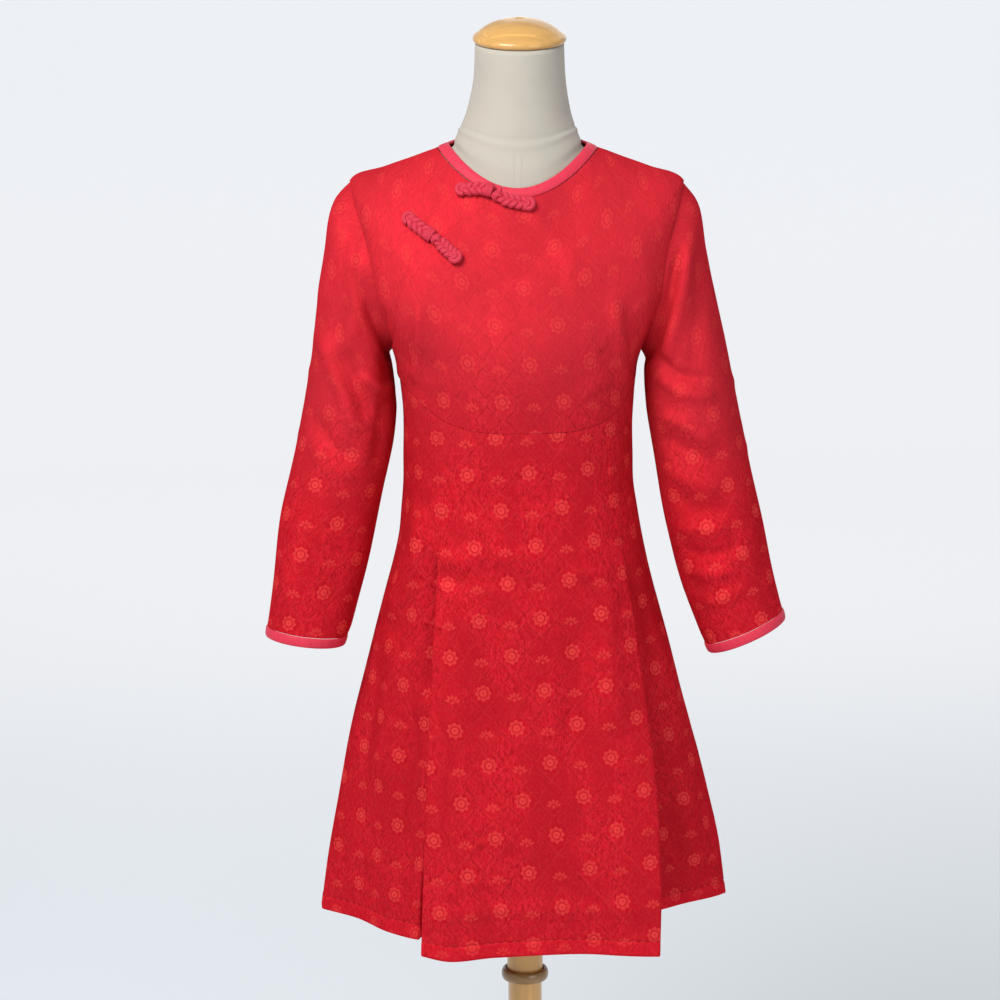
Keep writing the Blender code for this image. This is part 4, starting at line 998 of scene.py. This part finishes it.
class DRESS_OT_stand(bpy.types.Operator):
    """Neck cap, pole with its ring, and round base"""
    bl_idname = "dress.stand"
    bl_label = "Cap, Pole And Base"

    @staticmethod
    def turned_part(name, profile, steps, material, centre=(0, 0, 0), tilt=0.0, loop=False):
        """Profile spun round the upright axis, then tilted and moved to its place."""
        bm = spun(profile, steps, loop=loop)
        ct, st = cos(tilt), sin(tilt)
        for v in bm.verts:
            x, y, z = v.co
            v.co = Vector((x, y * ct - z * st, y * st + z * ct)) + Vector(centre)
        return mesh_object(name, bm, material)

    def execute(self, context):
        made = finishes()
        cap = [(0.0, 0.0), (0.046, 0.0), (0.0488, 0.0004), (0.0503, 0.0014), (0.0511, 0.0030),
               (0.0512, 0.0044), (0.0508, 0.0060), (0.0498, 0.0074), (0.0484, 0.0084),
               (0.0470, 0.0092), (0.0440, 0.0118), (0.0400, 0.0150), (0.0350, 0.0181),
               (0.0290, 0.0208), (0.0225, 0.0230), (0.0150, 0.0246), (0.0080, 0.0255),
               (0.0042, 0.0257), (0.0036, 0.0246), (0.0020, 0.0240), (0.0, 0.0239)]
        pole = [(0.0, 0.0364), (0.0193, 0.0364), (0.0193, 0.4106), (0.0196, 0.4118),
                (0.0204, 0.4146), (0.0205, 0.4160), (0.0205, 0.7264), (0.0193, 0.7276),
                (0.0, 0.7276)]
        tyre = [(0.0210 + 0.0030 * (1 + cos(a)), 0.411 + 0.0065 * sin(a))
                for a in [2 * pi * k / 24 for k in range(24)]]
        base = [(0.0, 0.0), (0.1640, 0.0), (0.1672, 0.0008), (0.1692, 0.0026), (0.1700, 0.0050),
                (0.1700, 0.0130), (0.1692, 0.0158), (0.1672, 0.0184), (0.1640, 0.0200),
                (0.1600, 0.0214), (0.1540, 0.0225), (0.1400, 0.0232), (0.1100, 0.0260),
                (0.0600, 0.0286), (0.0380, 0.0300), (0.0345, 0.0312), (0.0318, 0.0336),
                (0.0300, 0.0352), (0.0285, 0.0360), (0.0, 0.0360)]
        neck_end = {"centre": (-0.0060, -0.0121, 1.4697), "tilt": radians(12.6)}
        for node, profile, steps, wood, place in (
                ("neck_cap", cap, 96, "cap_honey_wood", neck_end),
                ("pole", pole, 72, "pole_honey_wood", {}),
                ("pole_ring", tyre, 72, "ring_dark_wood", {"loop": True}),
                ("base", base, 128, "pole_honey_wood", {})):
            ob = self.turned_part(node + "_turned", profile, steps, made[wood], **place)
            declare(ob, node)
        return {"FINISHED"}


class DRESS_OT_bindings(bpy.types.Operator):
    """Rose satin bindings of the neck and the two cuffs"""
    bl_idname = "dress.bindings"
    bl_label = "Bindings"

    def execute(self, context):
        satin = finishes()["binding_rose_satin"]
        gap = float(degrees_for(SEAM, 0.0, 0.006))
        start = LAP_EDGE[0, 0]
        u = np.linspace(start + gap, start + 360.0 - gap, 261)[:, None]
        # section of the neck binding: length v and height over the body
        at, rise = np.array([
            (0.0002, -0.0006), (0.0000, 0.0001), (0.0005, 0.0008), (0.0016, 0.0012),
            (0.0040, 0.0014), (0.0070, 0.0013), (0.0098, 0.0009), (0.0108, 0.0003),
            (0.0114, 0.0001), (0.0120, -0.0005), (0.0112, -0.0014), (0.0098, -0.0018),
            (0.0060, -0.0018), (0.0018, -0.0018), (0.0006, -0.0012), (0.0002, -0.0006)]).T[:, None]
        normal = normal_of(body, u[:, 0], NECK_V / 2)[:, None, :]
        wave = 0.00022 * np.sin(u * 1.9 + 2.0 * np.sin(u * 0.21)) * (rise > 0.0003)
        points = body(u, at) + normal * (rise + wave)[..., None]
        uvs = np.stack([arcs(points, 0), arcs(points, 1)], -1)
        neck = join_grids("neck_binding_satin", [(points, uvs)], satin)
        declare(neck, "neck_binding")
        # section of a cuff binding: distance past the sleeve's end and growth of its ring
        section = ((0.0004, 0.0000), (0.0006, 0.0006), (0.0014, 0.0011), (0.0035, 0.0014),
                   (0.0070, 0.0014), (0.0098, 0.0012), (0.0111, 0.0006), (0.0115, -0.0003),
                   (0.0112, -0.0012), (0.0098, -0.0020), (0.0060, -0.0020), (0.0022, -0.0019),
                   (0.0006, -0.0014), (0.0004, 0.0000))
        th = np.linspace(0, 2 * pi, 145)
        for name, table, side in (("cuff_binding_r", SLEEVE_R, -1),
                                  ("cuff_binding_l", SLEEVE_L, 1)):
            before, last = table[-2:]
            outer, inner = [np.array([last[k], 0, last[k + 1]]) for k in (0, 2)]
            way_o, way_i = [unit(np.array([last[k] - before[k], 0, last[k + 1] - before[k + 1]]))
                            for k in (0, 2)]
            rings = []
            for step, grow in section:
                o, i = outer + way_o * step, inner + way_i * step
                half = (o - i) / 2
                half = half * (1 + grow / np.linalg.norm(half))
                wob = 1 + 0.0022 * np.sin(th * 17 + 2 * np.sin(th * 3)) * (grow > 0.0008)
                deep = np.array([0, -last[5] - grow, 0])
                rings.append((o + i) / 2 + np.array([0, last[4] - 0.10 * step, 0])
                             + half * (np.cos(th) * wob)[:, None]
                             + deep * (np.sin(th) * wob)[:, None])
            points = np.array(rings)
            points = points if side < 0 else points[:, ::-1]
            uvs = np.stack([arcs(points, 1), arcs(points, 0)], -1)
            cuff = join_grids(name + "_satin", [(points, uvs)], satin)
            declare(cuff, name)
        return {"FINISHED"}


class DRESS_OT_frogs(bpy.types.Operator):
    """Two braided frogs: plaits, end loops, wraps and ball knots"""
    bl_idname = "dress.frogs"
    bl_label = "Braided Frogs"

    @staticmethod
    def strand(centres, up, radius):
        """Tube of points round a line, with its own running coordinates."""
        ahead = unit(np.gradient(centres, axis=0))
        side = unit(np.cross(up, ahead))
        top = np.cross(ahead, side)
        th = np.linspace(0, 2 * pi, 13)
        rad = np.broadcast_to(np.asarray(radius, float), (len(centres),))
        points = (centres[:, None] + (side[:, None] * np.cos(th)[None, :, None]
                  + top[:, None] * np.sin(th)[None, :, None]) * rad[:, None, None])
        length = arcs(centres[:, None], 0)[:, :1]
        uvs = np.stack([length + 0 * th[None], (th * 0.0022)[None] + 0 * length], -1)
        return points, uvs

    @staticmethod
    def bent(centre, *terms):
        """Points about a centre: each term is a direction and the distances along it."""
        return centre + sum(way * np.asarray(far)[:, None] for way, far in terms)

    def half(self, name, path, cord, ball):
        """Plait from its looped outer end to the crossing; ball adds the knot."""
        path = np.array(path)
        keyed = np.column_stack([np.linspace(0, 1, len(path)), path])
        f = np.linspace(0.09, 1, 121)
        u, v, lift = [curve(keyed, f, c) for c in (1, 2, 3)]
        normal = normal_of(body, u, v)
        line = body(u, v) + normal * lift[:, None]
        run = arcs(line[:, None], 0)[:, 0]
        length = run[-1]
        ahead = unit(np.gradient(line, axis=0))
        across = unit(np.cross(normal, ahead))
        swell = 0.30 + 0.70 * smooth(run / 0.006) * smooth((length - run) / 0.005 + 0.25)
        grids = []
        for k in range(3):
            phase = 2 * pi * (run * PLAIT_TURNS / length + k / 3.0)
            centre = self.bent(line, (across, PLAIT_WIDE * swell * np.sin(phase)),
                               (normal, PLAIT_DEEP * np.sin(2 * phase)))
            grids.append(self.strand(centre, normal, CORD_R * (0.75 + 0.25 * swell)))
        # two bights of cord at the outer end
        n0, a0, c0 = normal[6], ahead[6], across[6]
        a = np.linspace(-0.62 * pi, 0.62 * pi, 41)
        loop = self.bent(line[6] - a0 * 0.0002, (a0, -0.0050 * np.cos(a)),
                         (c0, 0.0053 * np.sin(a)), (n0, 0.0006 + 0.0010 * np.cos(a)))
        grids.append(self.strand(loop, n0, 0.0028))
        a = np.linspace(-0.55 * pi, 0.95 * pi, 41)
        inner = self.bent(line[14] + n0 * 0.0022, (a0, -0.0028 * np.cos(a)),
                          (c0, 0.0024 * np.sin(a)))
        grids.append(self.strand(inner, n0, 0.0022))
        if ball:
            # knotted button: three crossing turns of cord round the end
            centre = line[-1] + ahead[-1] * 0.0030
            axes = (ahead[-1], across[-1], normal[-1]) * 2
            a = np.linspace(0, 2 * pi, 49)
            for k in range(3):
                p, q, w = axes[k:k + 3]
                turn = self.bent(centre, (p, 0.0038 * np.cos(a)), (q, 0.0038 * np.sin(a)),
                                 (w, 0.0007 * np.sin(2 * a)))
                grids.append(self.strand(turn, w, 0.0026))
        else:
            # cord wound round the neck of the loop that takes the button
            a = np.linspace(0, 2 * pi, 33)
            for i in range(116, 94, -7):
                wrap = self.bent(line[i], (across[i], 0.0064 * np.cos(a)),
                                 (normal[i], 0.0040 * np.sin(a)), (ahead[i], 0.0004 * np.sin(a)))
                grids.append(self.strand(wrap, ahead[i], 0.0016))
        declare(join_grids("braid_" + name, grids, cord), name)

    def execute(self, context):
        cord = finishes()["frog_cord_rose"]
        for name, path in FROG_PATHS.items():
            self.half(name, path, cord, name.endswith("knot"))
        return {"FINISHED"}


class DRESS_OT_bodice(bpy.types.Operator):
    """Bodice front with its slanting lap, and the shoulder piece under it"""
    bl_idname = "dress.bodice"
    bl_label = "Bodice"

    def execute(self, context):
        pitch = context.scene.dress_settings.pitch
        rows = rows_through(CLOTH_TOP, float(bust_v(90.0)) - HALF_SEAM, pitch)

        def right(v):
            return arm_u(v) - degrees_for(HALF_SEAM, 80.0, v)

        panel_piece(
            "bodice_front_cloth", front_surface,
            lambda v: -90.0 + degrees_for(HALF_SEAM, 88.0, v), right,
            lambda s: np.maximum(curve(LAP_S, s, 1), CLOTH_TOP),
            lambda s: bust_v(-90.0 + 180.0 * s) - HALF_SEAM,
            spread(0.37, pitch), (rows - rows[0]) / (rows[-1] - rows[0]), 0.0, 0.0, SHIFT_TOP,
            halves=True, seed=1.3, rumple_depth=0.0005, rumple_size=0.11,
            more=[o for o in bpy.data.objects
                  if o.name.startswith(("braid_frog", "neck_binding_s"))])

        def lap_u(v):
            return curve(LAP_EDGE[:, ::-1], v, 1)

        def under_right(v):
            # tucked under the lap, less so towards the armpit
            tuck = 0.022 * (1 - smooth((v - 0.150) / 0.038)) - 0.0006 * smooth((v - 0.17) / 0.02)
            return lap_u(v) + degrees_for(tuck, lap_u(v), v)

        low = ARMPIT_V - 0.0012
        rows = rows_through(CLOTH_TOP, low, pitch)
        panel_piece(
            "bodice_under_lap_cloth", body, lambda v: -right(v), under_right,
            const(CLOTH_TOP), const(low), spread(0.12, pitch, True, False),
            (rows - rows[0]) / (rows[-1] - rows[0]), 0.0, 0.0, SHIFT_TOP, seed=2.1,
            sewn="tl", rumple_depth=0.0003)
        return {"FINISHED"}


class DRESS_OT_skirt(bpy.types.Operator):
    """Skirt front: centre panel, two side panels and the returns of the pleats"""
    bl_idname = "dress.skirt"
    bl_label = "Skirt Front"

    def execute(self, context):
        pitch = context.scene.dress_settings.pitch
        t_list = np.unique(np.round(np.concatenate([
            spread(0.56, pitch), 1.0 - STITCH_ROWS / 0.58]), 6))
        centre = panel_piece(
            "skirt_front_centre_cloth", centre_surface,
            lambda v: centre_edge(v, -1), lambda v: centre_edge(v, 1),
            lambda s: bust_v(-44 + 84 * s) + HALF_SEAM,
            lambda s: HEM_V + curve(CENTRE_HEM, s, 1),
            spread(0.22, pitch), t_list, 0.0, 2.2, SHIFT_SKIRT, seed=3.2, sewn="t", hem=True,
            rumple_depth=0.0011, rumple_size=0.13)
        self.fold_edges(centre)
        for name, side, lo, hi, extra in (("skirt_front_side_r", -1, -90.0, -44.0, 0.004),
                                          ("skirt_front_side_l", 1, 40.0, 90.0, 0.0)):
            def seam_edge(v, side=side):
                return side * (90.0 - degrees_for(HALF_SEAM, 88.0, v))

            def inner_edge(v, side=side):
                return under_edge(v, side)

            left, right = (seam_edge, inner_edge) if side < 0 else (inner_edge, seam_edge)
            panel_piece(
                name + "_cloth", side_surface(side), left, right,
                lambda s, lo=lo, hi=hi: bust_v(lo + (hi - lo) * s) + HALF_SEAM, const(HEM_V),
                spread(0.16, pitch), t_list, 0.0, 2.2,
                (SHIFT_SKIRT[0] + extra, SHIFT_SKIRT[1]), seed=4.1 + side,
                sewn="tl" if side < 0 else "tr", hem=True, rumple_depth=0.0012,
                rumple_size=0.12)
            self.pleat_return(side)
        return {"FINISHED"}

    @staticmethod
    def fold_edges(ob):
        """Rounds the two hanging edges of the centre panel back over the pleats."""
        band, turn_in, reach = 0.004, 0.0013, 0.0022
        edge = ob.data.uv_layers["Edge"].data
        across = {loop.vertex_index: uv.uv[0] for loop, uv in zip(ob.data.loops, edge)}
        widest = {}
        for v in ob.data.vertices:
            key = round(v.co.z / band)
            widest[key] = max(widest.get(key, 0.0), across[v.index])
        for v in ob.data.vertices:
            hang = min(max((0.920 - v.co.z) / 0.02, 0.0), 1.0)
            from_edge = min(across[v.index],
                            max(widest[round(v.co.z / band)] - across[v.index], 0.0))
            v.co.y += turn_in * hang * max(0.0, 1.0 - from_edge / reach) ** 2

    @staticmethod
    def pleat_return(side):
        """Folded-back cloth from behind the edge of the centre panel to the side panel."""
        v = np.linspace(RELEASE_V + 0.010, HEM_V - 0.001, 110)
        e = centre_edge(v, side) - side * degrees_for(0.0022, 40.0, v)
        n = normal_of(centre_surface, e, v)
        a = centre_surface(e, v) - n * (CLOTH * 1.5 + 0.0012)
        w = under_edge(v, side) + side * degrees_for(0.0015, 40.0, v)
        under = side_surface(side)
        b = under(w, v) + normal_of(under, w, v) * (CLOTH / 2 + 0.0010)
        f = np.linspace(0.0, 1.0, 16)[None, :, None]
        bow = 0.0016 * np.sin(pi * f) * smooth((v - RELEASE_V) / 0.1)[:, None, None]
        points = a[:, None] + (b - a)[:, None] * f + bow * np.array([side * 0.6, 0.4, 0.0])
        if side < 0:
            points = points[:, ::-1]
        uvs = turned(arcs(points, 1), v[:, None] + 0 * points[..., 0], 0.0, SHIFT_SKIRT)
        name = "pleat_return_r_cloth" if side < 0 else "pleat_return_l_cloth"
        cloth_piece(name, points, uvs, sewn="", hem=True, seed=5.0 + side, rumple_depth=0.0003)


class DRESS_OT_back(bpy.types.Operator):
    """Back in one piece from the neck to the hem"""
    bl_idname = "dress.back"
    bl_label = "Back"

    def execute(self, context):
        pitch = context.scene.dress_settings.pitch * 1.15
        rows = rows_through(CLOTH_TOP, HEM_V, pitch)
        rows = np.unique(np.round(np.append(rows, HEM_V - STITCH_ROWS), 6))
        panel_piece(
            "back_cloth", body,
            lambda v: arm_u_back(v) + degrees_for(HALF_SEAM, 95.0, v),
            lambda v: 360.0 - arm_u_back(v) - degrees_for(HALF_SEAM, 95.0, v),
            const(CLOTH_TOP), const(HEM_V), spread(0.40, pitch),
            (rows - CLOTH_TOP) / (HEM_V - CLOTH_TOP), 180.0, 0.0, SHIFT_TOP, seed=6.2,
            sewn="tlr", hem=True, rumple_depth=0.0010, rumple_size=0.12)
        return {"FINISHED"}


class DRESS_OT_sleeves(bpy.types.Operator):
    """Set-in bracelet-length sleeves"""
    bl_idname = "dress.sleeves"
    bl_label = "Sleeves"

    @staticmethod
    def first_ring(side, second, th):
        """Ring of a sleeve along its armhole, moved off it towards the next ring."""
        f = (1 - np.cos(th)) / 2
        v = SHOULDER_V + (ARMPIT_V - SHOULDER_V) * f
        u = np.where(np.sin(th) >= 0, arm_u(v), arm_u_back(v))
        u = side * np.clip(u, 58.0, 120.0)
        p = body(u, v)
        return p - unit(second - p) * SLEEVE_TUCK - normal_of(body, u, v) * SLEEVE_UNDER

    def execute(self, context):
        pitch = context.scene.dress_settings.pitch
        th = np.linspace(0, 2 * pi, SLEEVE_STEPS + 1)
        for name, table, side in (("sleeve_r", SLEEVE_R, -1), ("sleeve_l", SLEEVE_L, 1)):
            rings = []
            for x_o, z_o, x_i, z_i, y_m, depth in table:
                c = np.array([(x_o + x_i) / 2, y_m, (z_o + z_i) / 2])
                arm = np.array([(x_o - x_i) / 2, 0, (z_o - z_i) / 2])
                rings.append(c + arm * np.cos(th)[:, None]
                             + np.array([0, -depth, 0]) * np.sin(th)[:, None])
            rings.insert(0, self.first_ring(side, rings[0], th))
            rings = np.array(rings)
            # rows about one pitch apart, closer at both sewn ends
            rows = (len(rings) - 1) * spread(SLEEVE_LENGTH, pitch)
            keyed = np.column_stack([np.arange(float(len(rings))), rings.reshape(len(rings), -1)])
            points = np.stack([curve(keyed, rows, c) for c in range(1, keyed.shape[1])], -1)
            points = points.reshape(len(rows), SLEEVE_STEPS + 1, 3)
            if side > 0:
                points = points[:, ::-1]
            across = arcs(points, 1)
            middle = (1 if side < 0 else 3) * SLEEVE_STEPS // 4
            front = across[:, middle:middle + 1]
            drop = arcs(points, 0).mean(axis=1, keepdims=True) + 0.02
            uvs = turned(across - front, drop + 0 * across, 0.0, (0.012 * side, 0.0))
            cuff = bpy.data.objects["cuff_binding_" + name[-1] + "_satin"]
            cloth_piece(
                name + "_cloth", points, uvs, closed=True, sewn="tb", seed=7.0 + side,
                rumple_depth=0.0014, rumple_size=0.085, pucker=0.0005, seam_roll=0.0,
                on="back_cloth", more=[cuff])
        return {"FINISHED"}


class DRESS_OT_stage(bpy.types.Operator):
    """Pale studio bowl that glows with painted light, soft lights and the camera"""
    bl_idname = "dress.stage"
    bl_label = "Stage"

    def execute(self, context):
        scene = context.scene
        profile = [(0.0, 0.0), (3.8, 0.0), (4.6, 0.05), (5.2, 0.25), (5.6, 0.65), (5.8, 1.2),
                   (5.9, 2.0), (5.9, 3.4)]
        bm = spun(profile, 96, merge=1e-5)
        bmesh.ops.reverse_faces(bm, faces=bm.faces)
        paper = Finish("studio_paper", Roughness=0.95, Specular_IOR_Level=0.1,
                       Emission_Strength=1.0)
        # the bowl glows though it is no lamp: painted light, lighter higher up, towards the back
        # and on the left, darker at the front, the far sides and on the right low down
        x, y, z = paper.split(paper.node("ShaderNodeTexCoord", {}, (), "Object"))
        low = paper.mix(x.step(-0.9, 0.9), (0.42, 0.45, 0.48, 1), (0.365, 0.39, 0.41, 1))
        glow = paper.mix(y.step(0.9, 4.6), low, (0.575, 0.57, 0.58, 1))
        glow = paper.mix(z.step(0.3, 1.6), glow, (0.53, 0.54, 0.56, 1))
        glow = paper.mix(y.step(0.2, -2.4), glow, (0.14, 0.145, 0.15, 1))
        glow = paper.mix(abs(x).step(2.1, 3.6), glow, (0.20, 0.205, 0.21, 1))
        paper.tree.links.new(glow.socket, paper.shader.inputs["Emission Color"])
        walls = paper.mix(z.step(0.0, 2.4), (0.45, 0.465, 0.48, 1), (0.50, 0.515, 0.53, 1))
        mesh_object("studio_bowl", bm, paper.done(walls))
        world = bpy.data.worlds.new("soft_white")
        world.use_nodes = True
        sky = world.node_tree.nodes["Background"].inputs
        sky["Color"].default_value, sky["Strength"].default_value = (0.93, 0.96, 1.0, 1.0), 0.40
        scene.world = world
        for name, place, aim, size, power, tint in (
                ("key_light", (-1.15, -1.9, 2.9), (0.0, 0.0, 1.15), 1.3, 79.0, (1.0, 0.985, 0.96)),
                ("fill_light", (2.3, -3.0, 1.2), (0.0, 0.0, 1.0), 2.0, 27.0, (0.98, 0.98, 1.0)),
                ("back_light", (0.8, 3.2, 3.0), (0.0, 0.0, 0.9), 2.4, 12.0, (1.0, 1.0, 1.0))):
            data = bpy.data.lights.new(name, "AREA")
            data.shape, data.size, data.energy, data.color = "SQUARE", size, power, tint
            lamp = placed(name, data)
            lamp.location = place
            way = Vector(aim) - Vector(place)
            lamp.rotation_euler = way.to_track_quat("-Z", "Y").to_euler()
            lamp.visible_camera = False
        camera = bpy.data.cameras.new("front_camera")
        camera.sensor_width, camera.lens, camera.shift_x = 36.0, 94.03, -0.025
        eye = placed("front_camera", camera)
        eye.location = (0.0, -2.9, 1.407)
        eye.rotation_euler = (radians(90.0 - 8.706), 0.0, 0.0)
        scene.camera = eye
        scene.view_settings.view_transform = "Standard"
        return {"FINISHED"}


class DRESS_PT_panel(bpy.types.Panel):
    """Sidebar panel of the dress"""
    bl_idname = "DRESS_PT_panel"
    bl_label = "Jacquard Dress"
    bl_space_type = "VIEW_3D"
    bl_region_type = "UI"
    bl_category = "Dress"

    def draw(self, context):
        s = context.scene.dress_settings
        for key in s.bl_rna.properties.keys():
            if key not in ("rna_type", "name"):
                self.layout.prop(s, key)
        for step in STEPS:
            self.layout.operator(step.bl_idname)


STEPS = (DRESS_OT_form, DRESS_OT_stand, DRESS_OT_bindings, DRESS_OT_frogs, DRESS_OT_bodice,
         DRESS_OT_skirt, DRESS_OT_back, DRESS_OT_sleeves, DRESS_OT_stage)
CLASSES = (DressSettings, *STEPS, DRESS_PT_panel)


def register():
    for cls in CLASSES:
        bpy.utils.register_class(cls)
    bpy.types.Scene.dress_settings = bpy.props.PointerProperty(type=DressSettings)


def unregister():
    del bpy.types.Scene.dress_settings
    for cls in reversed(CLASSES):
        bpy.utils.unregister_class(cls)


def main():
    register()
    for step in STEPS:
        group, name = step.bl_idname.split(".")
        getattr(getattr(bpy.ops, group), name)()


if __name__ == "__main__":
    main()
